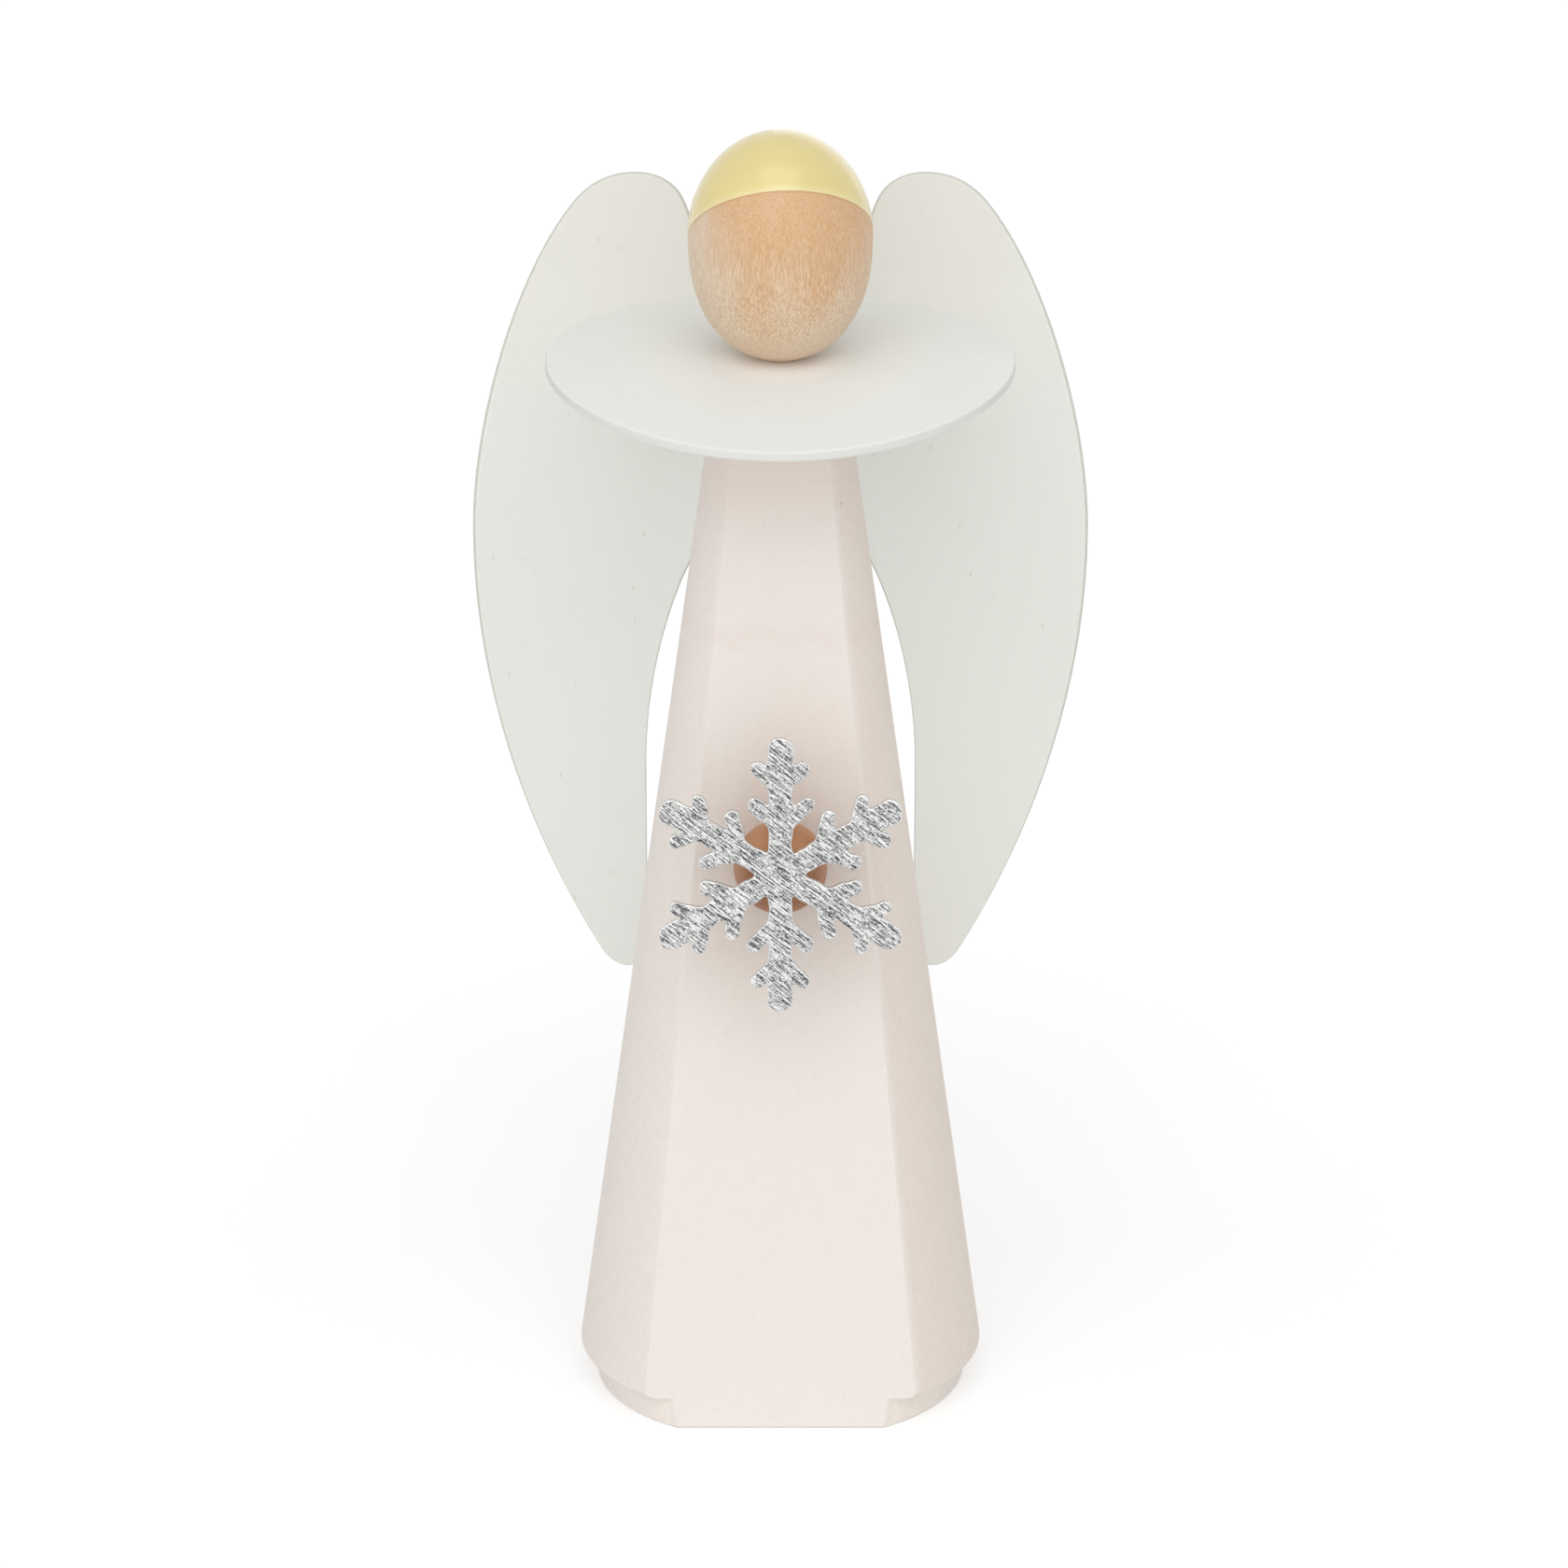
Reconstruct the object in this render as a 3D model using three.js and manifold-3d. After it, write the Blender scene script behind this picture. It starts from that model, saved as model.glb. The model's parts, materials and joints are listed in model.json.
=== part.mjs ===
// Wooden angel figurine, in millimetres, +Z up, front towards -Y.
// Origin: the robe's turning axis, on the surface the figurine stands on.
import * as THREE from 'three';
import { mergeVertices } from 'three/addons/utils/BufferGeometryUtils.js';
import Module from 'manifold-3d';

const wasm = await Module();
wasm.setup();

// Glue gap between pieces that touch
const GAP = 0.3;

// Robe: a turned cone on a stepped foot, with one flat planed down its front
const FOOT_RADIUS = 22.9;
const FOOT_HEIGHT = 3.9;
const RIM_RADIUS = 25.1;
const RIM_ROUND = 0.9;
const ROBE_TOP_RADIUS = 7.7;
const ROBE_HEIGHT = 133.4;
const FACET_DISTANCE = 18.95;
const FACET_LEAN = THREE.MathUtils.degToRad(5.67);

// Collar: a thin disc, cupped so that its front and back hang below its middle
const COLLAR_RADIUS = 28.7;
const COLLAR_THICKNESS = 1.25;
const COLLAR_CUP_DEPTH = 1.8;
const COLLAR_FORWARD = 1.6;

// Head: an egg with its blunt end up, on a small flat seat. Its lower half is fuller than an ellipse:
// the power of its curve is above two.
const HEAD_RADIUS = 11.3;
const HEAD_CROWN = 13.05;
const HEAD_CHIN = 15.55;
const HEAD_CHIN_POWER = 2.28;
const HEAD_SEAT_RADIUS = 3.6;

// Neck dowel, from the robe through the collar into the head
const DOWEL_RADIUS = 2;
const DOWEL_CHAMFER = 0.4;
const DOWEL_IN_ROBE = 14;
const DOWEL_IN_HEAD = 9;

// Wings: thin bent boards. In plan each runs straight back out of its saw kerf in the robe,
// bends round to the side and sweeps gently forward to its outer edge.
const WING_THICKNESS = 0.9;
const WING_ROOT_X = 3;
const WING_ROOT_DEPTH_Y = 3.5;
const WING_BEND_RADIUS = 13.5;
const WING_SWEEP_RADIUS = 45;
const WING_BEHIND_COLLAR = 3.4;

// Wing outline seen from the front: distance from the middle, and height above the robe's top
const WING_TOP_X = 18.1;
const WING_TOP_RISE = 14.7;
const WING_SHOULDER_X = 25.6;
const WING_SHOULDER_RISE = 11.2;
const WING_SPAN_X = 38.35;
const WING_SPAN_RISE = -30.4;
const WING_HEEL_X = 22.7;
const WING_HEEL_RISE = -88.7;
const WING_TIP_X = 19.3;
const WING_TIP_RISE = -91.2;
const WING_INSTEP_X = 16.8;
const WING_INSTEP_RISE = -88.6;
const WING_INNER_X = 16.9;
const WING_INNER_RISE = -63.4;
const WING_WAIST_X = 11.3;
const WING_WAIST_RISE = -36.4;
const WING_ROOT_LOW_RISE = -25.4;
const WING_ROOT_TOP_RISE = -5.4;
const WING_NAPE_X = 10.4;
const WING_NAPE_RISE = 4.8;
const WING_NECK_X = 12.4;
const WING_NECK_RISE = 12;

// Hands: a turned ball pegged to the facet, with a flat behind and a flat for the snowflake
const HAND_HEIGHT = 74;
const BALL_RADIUS = 5.75;
const BALL_FLAT_DEPTH = 0.55;
const PEG_RADIUS = 1.5;
const PEG_IN_ROBE = 6;
const PEG_IN_BALL = 5;

// Snowflake: six arms cut from thin board, each with two pairs of side branches
const FLAKE_ARMS = 6;
const FLAKE_THICKNESS = 1.3;
const FLAKE_LEAN = THREE.MathUtils.degToRad(13);
const FLAKE_REACH = 16.9;
const FLAKE_STEM_WIDTH = 2.9;
const FLAKE_LOBE_WIDTH = 3.1;
const FLAKE_LOBE_LENGTH = 4.8;
const FLAKE_INNER_FROM = 5.75;
const FLAKE_INNER_SPREAD = 3.15;
const FLAKE_INNER_RUN = 2.85;
const FLAKE_INNER_WIDTH = 1.95;
const FLAKE_OUTER_FROM = 10.6;
const FLAKE_OUTER_SPREAD = 2.75;
const FLAKE_OUTER_RUN = 2.5;
const FLAKE_OUTER_WIDTH = 1.8;

// Facets round a full turn, and along a curved stretch
const ROUND_STEPS = 72;
const HEAD_STEPS = 48;
const BALL_STEPS = 32;
const PROFILE_STEPS = 9;
const EDGE_STEPS = 9;
const CAP_STEPS = 6;

// Length that takes a cutting body well past what it cuts
const CLEAR = 40;

// Closed body made from a geometry, for joining and cutting
function solid(geometry) {
  geometry.deleteAttribute('normal');
  geometry.deleteAttribute('uv');
  const merged = mergeVertices(geometry, 1e-4);
  const index = merged.index.array;
  const corners = [];
  for (let i = 0; i < index.length; i += 3) {
    const [a, b, c] = [index[i], index[i + 1], index[i + 2]];
    if (a !== b && b !== c && c !== a) corners.push(a, b, c);
  }
  const vertProperties = Float32Array.from(merged.attributes.position.array);
  const triVerts = Uint32Array.from(corners);
  return new wasm.Manifold(new wasm.Mesh({ numProp: 3, vertProperties, triVerts }));
}

// Named piece with its own finish
function piece(name, body, colour, roughness, metalness = 0) {
  const mesh = body.getMesh();
  const geometry = new THREE.BufferGeometry();
  geometry.setAttribute('position', new THREE.BufferAttribute(Float32Array.from(mesh.vertProperties), 3));
  geometry.setIndex(Array.from(mesh.triVerts));
  geometry.computeVertexNormals();
  const finish = new THREE.MeshStandardMaterial({ color: colour, roughness, metalness });
  const made = new THREE.Mesh(geometry, finish);
  made.name = name;
  return made;
}

// Body of revolution about +Z from [radius, height] pairs
function turned(profile, steps = ROUND_STEPS) {
  const points = profile.map(([radius, height]) => new THREE.Vector2(radius, height));
  return new THREE.LatheGeometry(points, steps).rotateX(Math.PI / 2);
}

// Round bar along +Z, from one height to another
function bar(radius, from, to, chamfer = 0) {
  const profile = [[0, from], [radius - chamfer, from], [radius, from + chamfer]];
  profile.push([radius, to - chamfer], [radius - chamfer, to], [0, to]);
  return turned(profile, ROUND_STEPS / 3);
}

// Outline extruded along +Z
function board(points, from, to) {
  const settings = { depth: to - from, bevelEnabled: false };
  return new THREE.ExtrudeGeometry(new THREE.Shape(points), settings).translate(0, 0, from);
}

// Points on an arc, angles in radians
function arc(x, y, radius, from, to, steps) {
  const points = [];
  for (let i = 0; i <= steps; i += 1) {
    const angle = from + (to - from) * i / steps;
    points.push(new THREE.Vector2(x + radius * Math.cos(angle), y + radius * Math.sin(angle)));
  }
  return points;
}

// Where the pieces meet
const robeSlope = (RIM_RADIUS - ROBE_TOP_RADIUS) / (ROBE_HEIGHT - FOOT_HEIGHT);
const cupAt = (y) => COLLAR_CUP_DEPTH * (y / COLLAR_RADIUS) ** 2;
const collarUnder = ROBE_HEIGHT + GAP + cupAt(ROBE_TOP_RADIUS + COLLAR_FORWARD);
const collarTop = collarUnder + COLLAR_THICKNESS;
const headSeat = collarTop + GAP;
const seatShare = 1 - (HEAD_SEAT_RADIUS / HEAD_RADIUS) ** HEAD_CHIN_POWER;
const seatDrop = HEAD_CHIN * seatShare ** (1 / HEAD_CHIN_POWER);
const headMiddle = headSeat + seatDrop;
const wingTroughX = WING_ROOT_X + WING_BEND_RADIUS;
const wingTroughY = COLLAR_RADIUS - COLLAR_FORWARD + WING_BEHIND_COLLAR;
const wingBendY = wingTroughY - WING_BEND_RADIUS;
const facetY = -(FACET_DISTANCE - HAND_HEIGHT * Math.tan(FACET_LEAN));
const ballCentre = GAP + BALL_RADIUS - BALL_FLAT_DEPTH;

// Frame of the hands: on the facet, local +Z straight out of it, local +Y up it
const handFrame = new THREE.Matrix4().makeRotationX(Math.PI / 2 - FACET_LEAN);
handFrame.setPosition(0, facetY, HAND_HEIGHT);

// Robe
function robe() {
  const boreFloor = ROBE_HEIGHT - DOWEL_IN_ROBE - GAP;
  const boreRadius = DOWEL_RADIUS + GAP;
  const profile = [[0, 0], [FOOT_RADIUS, 0], [FOOT_RADIUS, FOOT_HEIGHT]];
  for (let i = 0; i <= CAP_STEPS; i += 1) {
    const angle = Math.PI / 2 * i / CAP_STEPS;
    const rise = RIM_ROUND * (1 - Math.cos(angle));
    const drawnIn = RIM_ROUND * (1 - Math.sin(angle));
    profile.push([RIM_RADIUS - robeSlope * rise - drawnIn, FOOT_HEIGHT + rise]);
  }
  profile.push([ROBE_TOP_RADIUS, ROBE_HEIGHT], [boreRadius, ROBE_HEIGHT]);
  profile.push([boreRadius, boreFloor], [0, boreFloor]);
  let body = solid(turned(profile));

  // The flat: everything in front of the leaning plane comes off
  const offcut = new THREE.BoxGeometry(4 * RIM_RADIUS, 4 * ROBE_HEIGHT, CLEAR);
  offcut.translate(0, 0, CLEAR / 2).applyMatrix4(handFrame);
  body = body.subtract(solid(offcut));

  // Saw kerfs for the wing roots
  const kerfLow = ROBE_HEIGHT + WING_ROOT_LOW_RISE - GAP;
  const kerfTop = ROBE_HEIGHT + WING_ROOT_TOP_RISE + GAP;
  const kerfFront = WING_ROOT_DEPTH_Y - GAP;
  for (const side of [-1, 1]) {
    const kerf = new THREE.BoxGeometry(WING_THICKNESS + 2 * GAP, CLEAR, kerfTop - kerfLow);
    kerf.translate(side * WING_ROOT_X, kerfFront + CLEAR / 2, (kerfLow + kerfTop) / 2);
    body = body.subtract(solid(kerf));
  }

  // Peg hole for the hands
  const hole = bar(PEG_RADIUS + GAP, -PEG_IN_ROBE - GAP, CLEAR).applyMatrix4(handFrame);
  return body.subtract(solid(hole));
}

// Collar: an arched strip across the figurine, cut to a disc and bored for the dowel
function collar() {
  const half = COLLAR_RADIUS + COLLAR_THICKNESS;
  const steps = 2 * PROFILE_STEPS;
  const upper = [];
  const lower = [];
  for (let i = 0; i <= steps; i += 1) {
    const y = half * (2 * i / steps - 1);
    upper.push(new THREE.Vector2(y, collarTop - cupAt(y)));
    lower.unshift(new THREE.Vector2(y, collarUnder - cupAt(y)));
  }
  const strip = board([...upper, ...lower], -half, half);
  strip.rotateX(Math.PI / 2).rotateZ(Math.PI / 2).translate(0, -COLLAR_FORWARD, 0);
  const rim = turned([[0, 0], [COLLAR_RADIUS, 0], [COLLAR_RADIUS, 2 * ROBE_HEIGHT], [0, 2 * ROBE_HEIGHT]]);
  rim.translate(0, -COLLAR_FORWARD, 0);
  const bore = bar(DOWEL_RADIUS + GAP, 0, 2 * ROBE_HEIGHT);
  return solid(strip).intersect(solid(rim)).subtract(solid(bore));
}

// Head: lower half, then upper half of the egg, with the dowel's bore from below
function head() {
  const boreRadius = DOWEL_RADIUS + GAP;
  const boreTop = headSeat + DOWEL_IN_HEAD + GAP;
  const profile = [[0, boreTop], [boreRadius, boreTop], [boreRadius, headSeat]];
  const power = 2 / HEAD_CHIN_POWER;
  const seatAngle = Math.acos((HEAD_SEAT_RADIUS / HEAD_RADIUS) ** (1 / power));
  for (let i = 0; i <= PROFILE_STEPS; i += 1) {
    const angle = seatAngle * (1 - i / PROFILE_STEPS);
    const radius = HEAD_RADIUS * Math.cos(angle) ** power;
    profile.push([radius, headMiddle - HEAD_CHIN * Math.sin(angle) ** power]);
  }
  for (let i = 1; i < PROFILE_STEPS; i += 1) {
    const angle = Math.PI / 2 * i / PROFILE_STEPS;
    profile.push([HEAD_RADIUS * Math.cos(angle), headMiddle + HEAD_CROWN * Math.sin(angle)]);
  }
  profile.push([0, headMiddle + HEAD_CROWN]);
  return solid(turned(profile, HEAD_STEPS));
}

function neckDowel() {
  return solid(bar(DOWEL_RADIUS, ROBE_HEIGHT - DOWEL_IN_ROBE, headSeat + DOWEL_IN_HEAD, DOWEL_CHAMFER));
}

// Wing edge seen from the front, clockwise from the top: x, height above the robe's top, heading of
// the edge in degrees, and its handles before and after the point as shares of the chord there
function wingOutline() {
  const inside = WING_ROOT_X - WING_THICKNESS;
  const knots = [
    [WING_TOP_X, WING_TOP_RISE, 0, 0.4, 0.43],
    [WING_SHOULDER_X, WING_SHOULDER_RISE, -50, 0.3, 0.25],
    [WING_SPAN_X, WING_SPAN_RISE, -90, 0.34, 0.33],
    [WING_HEEL_X, WING_HEEL_RISE, -120, 0.32, 0.38],
    [WING_TIP_X, WING_TIP_RISE, 180, 0.31, 0.39],
    [WING_INSTEP_X, WING_INSTEP_RISE, 90, 0.42, 0.32],
    [WING_INNER_X, WING_INNER_RISE, 90, 0.32, 0.33],
    [WING_WAIST_X, WING_WAIST_RISE, 114, 0.3, 0.34],
    [inside, WING_ROOT_LOW_RISE, 180, 0.25, 0],
    [inside, WING_ROOT_TOP_RISE, 0, 0, 0.42],
    [WING_NAPE_X, WING_NAPE_RISE, 83, 0.47, 0.32],
    [WING_NECK_X, WING_NECK_RISE, 59, 0.31, 0.31],
  ];
  const points = [];
  knots.forEach(([x, rise, heading, , after], i) => {
    const [nextX, nextRise, nextHeading, before] = knots[(i + 1) % knots.length];
    const from = new THREE.Vector2(x, ROBE_HEIGHT + rise);
    const to = new THREE.Vector2(nextX, ROBE_HEIGHT + nextRise);
    const chord = from.distanceTo(to);
    const along = (degrees, length) => new THREE.Vector2(length, 0)
      .rotateAround(new THREE.Vector2(), THREE.MathUtils.degToRad(degrees));
    const leave = along(heading, after * chord).add(from);
    const arrive = to.clone().sub(along(nextHeading, before * chord));
    const steps = after > 0 ? EDGE_STEPS : 1;
    points.push(...new THREE.CubicBezierCurve(from, leave, arrive, to).getPoints(steps).slice(0, -1));
  });
  return points;
}

// Wing: the bent board in plan, cut to the outline. side is 1 for +X, -1 for -X
function wing(side) {
  const half = WING_THICKNESS / 2;
  const turn = Math.PI / 2;
  const sweepY = wingTroughY - WING_SWEEP_RADIUS;
  const sweep = Math.asin((WING_SPAN_X + WING_THICKNESS - wingTroughX) / WING_SWEEP_RADIUS);
  const face = (offset) => [
    new THREE.Vector2(WING_ROOT_X - offset, WING_ROOT_DEPTH_Y),
    ...arc(wingTroughX, wingBendY, WING_BEND_RADIUS + offset, 2 * turn, turn, PROFILE_STEPS),
    ...arc(wingTroughX, sweepY, WING_SWEEP_RADIUS + offset, turn, turn - sweep, EDGE_STEPS).slice(1),
  ];
  const mirror = (point) => new THREE.Vector2(side * point.x, point.y);
  const plan = [...face(half), ...face(-half).reverse()].map(mirror);
  const bent = board(plan, 0, 2 * ROBE_HEIGHT);
  const outline = board(wingOutline().map(mirror), -CLEAR - wingTroughY, 0).rotateX(Math.PI / 2);
  return solid(bent).intersect(solid(outline));
}

// Hands: ball with its two flats and the peg's hole, in the frame of the hands
const flakeFrame = new THREE.Matrix4().makeRotationX(FACET_LEAN - FLAKE_LEAN).setPosition(0, 0, ballCentre);

function handBall() {
  const ball = new THREE.SphereGeometry(BALL_RADIUS, BALL_STEPS, BALL_STEPS / 2).translate(0, 0, ballCentre);
  const behind = new THREE.BoxGeometry(CLEAR, CLEAR, CLEAR).translate(0, 0, GAP - CLEAR / 2);
  const front = new THREE.BoxGeometry(CLEAR, CLEAR, CLEAR);
  front.translate(0, 0, BALL_RADIUS - BALL_FLAT_DEPTH + CLEAR / 2).applyMatrix4(flakeFrame);
  const hole = bar(PEG_RADIUS + GAP, -CLEAR, PEG_IN_BALL + 2 * GAP);
  return solid(ball).subtract(solid(behind)).subtract(solid(front)).subtract(solid(hole));
}

function handPeg() {
  return solid(bar(PEG_RADIUS, -PEG_IN_ROBE, PEG_IN_BALL + GAP, DOWEL_CHAMFER));
}

// Snowflake: round-ended bars joined along each arm
function snowflake() {
  const rod = (from, to, width, turn) => {
    const along = to.clone().sub(from).angle();
    const half = width / 2;
    const points = arc(to.x, to.y, half, along - Math.PI / 2, along + Math.PI / 2, CAP_STEPS);
    points.push(...arc(from.x, from.y, half, along + Math.PI / 2, along + 3 * Math.PI / 2, CAP_STEPS));
    return solid(board(points, 0, FLAKE_THICKNESS).rotateZ(turn));
  };
  const at = (x, y) => new THREE.Vector2(x, y);
  const lobeEnd = FLAKE_REACH - FLAKE_LOBE_WIDTH / 2;
  let body = null;
  for (let arm = 0; arm < FLAKE_ARMS; arm += 1) {
    const turn = arm * 2 * Math.PI / FLAKE_ARMS;
    const rods = [
      rod(at(0, 0), at(0, lobeEnd), FLAKE_STEM_WIDTH, turn),
      rod(at(0, lobeEnd - FLAKE_LOBE_LENGTH + FLAKE_LOBE_WIDTH), at(0, lobeEnd), FLAKE_LOBE_WIDTH, turn),
    ];
    for (const side of [-1, 1]) {
      const inner = at(side * FLAKE_INNER_SPREAD, FLAKE_INNER_FROM + FLAKE_INNER_RUN);
      const outer = at(side * FLAKE_OUTER_SPREAD, FLAKE_OUTER_FROM + FLAKE_OUTER_RUN);
      rods.push(rod(at(0, FLAKE_INNER_FROM), inner, FLAKE_INNER_WIDTH, turn));
      rods.push(rod(at(0, FLAKE_OUTER_FROM), outer, FLAKE_OUTER_WIDTH, turn));
    }
    for (const part of rods) body = body ? body.add(part) : part;
  }
  return body;
}

// Assembly
const angel = new THREE.Group();
angel.add(piece('robe', robe(), 0xece2dc, 0.75));
angel.add(piece('neck_dowel', neckDowel(), 0xdcc09a, 0.7));
angel.add(piece('collar', collar(), 0xe6e5e0, 0.75));
angel.add(piece('head', head(), 0xd8b48c, 0.5));
angel.add(piece('wing_left', wing(1), 0xe4e3de, 0.75));
angel.add(piece('wing_right', wing(-1), 0xe4e3de, 0.75));

const hands = new THREE.Group();
hands.applyMatrix4(handFrame);
hands.add(piece('hand_peg', handPeg(), 0xdcc09a, 0.7));
hands.add(piece('hand_ball', handBall(), 0xc08a5c, 0.55));
const flake = piece('snowflake', snowflake(), 0xb8b8b8, 0.35, 1);
flake.applyMatrix4(flakeFrame);
flake.translateZ(BALL_RADIUS - BALL_FLAT_DEPTH + GAP);
hands.add(flake);
angel.add(hands);

export default angel;
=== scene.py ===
"""Wooden angel figurine: its dressed pieces and finishes, a pale floor, soft light and the camera.

Shapes are written in millimetres in the frame of the part, front towards -Y, and kept in metres.
"""

import json
import math

import bpy
import numpy as np
from mathutils import Euler, Matrix, Vector
from mathutils.geometry import delaunay_2d_cdt

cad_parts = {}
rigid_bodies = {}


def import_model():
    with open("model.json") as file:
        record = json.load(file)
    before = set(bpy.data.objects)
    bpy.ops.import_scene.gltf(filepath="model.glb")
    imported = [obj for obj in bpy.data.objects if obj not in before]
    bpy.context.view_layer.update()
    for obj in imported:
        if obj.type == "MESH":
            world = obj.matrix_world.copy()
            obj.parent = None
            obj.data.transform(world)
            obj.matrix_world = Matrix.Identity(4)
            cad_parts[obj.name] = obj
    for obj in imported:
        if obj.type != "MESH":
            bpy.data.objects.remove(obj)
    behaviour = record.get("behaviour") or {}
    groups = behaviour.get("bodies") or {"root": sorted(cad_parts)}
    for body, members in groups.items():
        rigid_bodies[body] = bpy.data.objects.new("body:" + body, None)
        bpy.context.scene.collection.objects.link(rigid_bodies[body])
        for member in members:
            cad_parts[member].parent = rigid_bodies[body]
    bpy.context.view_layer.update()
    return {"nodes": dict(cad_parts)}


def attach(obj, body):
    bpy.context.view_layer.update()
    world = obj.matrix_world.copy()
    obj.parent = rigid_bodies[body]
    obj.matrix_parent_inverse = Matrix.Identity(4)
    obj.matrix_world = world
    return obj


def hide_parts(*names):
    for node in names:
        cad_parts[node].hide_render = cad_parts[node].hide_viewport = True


for leftover in list(bpy.data.objects):
    bpy.data.objects.remove(leftover)
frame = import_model()

MM = 0.001
QUARTER = math.pi / 2

# Robe: a turned cone on a stepped foot, with one flat planed down its front
FOOT_RADIUS = 22.9
FOOT_HEIGHT = 3.9
RIM_RADIUS = 25.1
RIM_ROUND = 0.9
ROBE_TOP_RADIUS = 7.7
ROBE_HEIGHT = 133.4
ROBE_EDGE = 0.4
FACET_DISTANCE = 18.95
FACET_LEAN = math.radians(5.67)
FACET_CORNER = 0.35

# Collar: a thin cupped disc, set forward of the robe's axis
COLLAR_RADIUS = 28.7
COLLAR_THICKNESS = 1.25
COLLAR_CUP_DEPTH = 1.8
COLLAR_FORWARD = 1.6
COLLAR_EDGE = 0.3

# Head: an egg with its blunt end up; the hair is lacquer above a plane that rises to the front
HEAD_RADIUS = 11.3
HEAD_CROWN = 13.05
HEAD_CROWN_POWER = 2.0
HEAD_CHIN = 15.55
HEAD_CHIN_POWER = 2.28
HEAD_SEAT_RADIUS = 3.6
HEAD_SEAT_EDGE = 0.25
HAIR_COAT = 0.04
HAIR_DEPTH = 0.3
HAIR_LINE = 0.5
HAIR_LINE_RISE = 0.95
HAIR_LINE_TILT = -0.07

# Dowels
DOWEL_RADIUS = 2.0
DOWEL_IN_ROBE = 14.0
DOWEL_IN_HEAD = 9.0
PEG_RADIUS = 1.5
PEG_IN_ROBE = 6.0
PEG_IN_BALL = 5.0

# Wings: thin boards that leave their kerfs straight back, bend to the side and sweep forward
WING_THICKNESS = 0.9
WING_EDGE = 0.25
WING_EDGE_REACH = 0.27
WING_ROOT_X = 3.0
WING_ROOT_DEPTH_Y = 3.5
WING_BEND_RADIUS = 13.5
WING_SWEEP_RADIUS = 45.0
WING_BEHIND_COLLAR = 3.4
KERF_ROOM = 0.12
WING_ROOT_LOW_RISE = -25.4
WING_ROOT_TOP_RISE = -5.4

# Wing edge seen from the front, clockwise from its top: distance from the middle, height above the
# robe's top, heading in degrees, and the handles before and after as shares of the chord
WING_KNOTS = (
    (18.1, 14.7, 0, 0.4, 0.43),
    (25.6, 11.2, -50, 0.3, 0.25),
    (38.35, -30.4, -90, 0.34, 0.33),
    (22.7, -88.7, -120, 0.32, 0.38),
    (19.3, -91.2, 180, 0.31, 0.39),
    (16.8, -88.6, 90, 0.42, 0.32),
    (16.9, -63.4, 90, 0.32, 0.33),
    (11.3, -36.4, 114, 0.3, 0.34),
    (WING_ROOT_X - WING_THICKNESS, WING_ROOT_LOW_RISE, 180, 0.25, 0),
    (WING_ROOT_X - WING_THICKNESS, WING_ROOT_TOP_RISE, 0, 0, 0.42),
    (10.4, 4.8, 83, 0.47, 0.32),
    (12.4, 12.0, 59, 0.31, 0.31),
)

# Hands: a turned ball pegged to the facet
HAND_HEIGHT = 74.0
BALL_RADIUS = 5.75
BALL_FLAT_DEPTH = 0.55
BALL_CUTTER = 9.0

# Snowflake: six arms of round-ended bars, cut from thin board
FLAKE_ARMS = 6
FLAKE_THICKNESS = 1.3
FLAKE_EDGE = 0.22
FLAKE_LEAN = math.radians(13)
FLAKE_REACH = 16.9
FLAKE_STEM_WIDTH = 2.9
FLAKE_LOBE_WIDTH = 3.1
FLAKE_LOBE_LENGTH = 4.8
FLAKE_INNER_FROM = 5.75
FLAKE_INNER_SPREAD = 3.15
FLAKE_INNER_RUN = 2.85
FLAKE_INNER_WIDTH = 1.95
FLAKE_OUTER_FROM = 10.6
FLAKE_OUTER_SPREAD = 2.75
FLAKE_OUTER_RUN = 2.5
FLAKE_OUTER_WIDTH = 1.8
FLAKE_CROOK = 0.4

# Unevenness of the snowflake's sawn edge: how far it goes, the waves that move it sideways and up (rate along
# x, rate along y, start and share), the grid that its edge is traced on and the spacing of the edge's points
FLAKE_WOBBLE = 0.06
FLAKE_WAVES_X = (0.0, 1.9, 0.7, 1.0), (3.1, -2.3, 0.0, 0.7)
FLAKE_WAVES_Y = (2.1, 0.0, 1.9, 1.0), (2.7, 3.3, 1.1, 0.7)
FLAKE_TRACE_MARGIN = 1.0
FLAKE_TRACE_STEP = 0.12
FLAKE_EDGE_SPACING = 0.28

# Glue line between touching pieces, and how much of it the dressed pieces leave open
GAP = 0.3
GLUE_LINE = 0.05

# Name of the mark that boards carry on their cut edges
CUT_EDGE = "cut_edge"

# Steps round a full turn, round an edge and along a curve
ROUND_STEPS = 144
ROBE_STEPS = 120
EDGE_STEPS = 4
HAIR_LIP_STEPS = 6
COLLAR_STEPS = 16
CONE_STEPS = 36
KNOT_STEPS = 18
HALVINGS = 40

# Fill of the boards: how far apart its points lie, how far they keep from the edge, the kind of fill that
# stays inside an outline, and how close two points count as one
WING_FILL_ALONG = 1.1
WING_FILL_UP = 2.2
WING_FILL_MARGIN = 0.9
FLAKE_FILL = 0.8
FLAKE_FILL_MARGIN = 0.5
FILL_INSIDE = 1
FILL_MERGE = 1e-6


# Where the pieces meet
def cup_at(y):
    """How far the collar hangs below its middle, at a distance from its own centre line."""
    return COLLAR_CUP_DEPTH * (y / COLLAR_RADIUS) ** 2


def facet_at(height):
    """Distance of the robe's flat from the axis at a height."""
    return FACET_DISTANCE - height * math.tan(FACET_LEAN)


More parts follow.
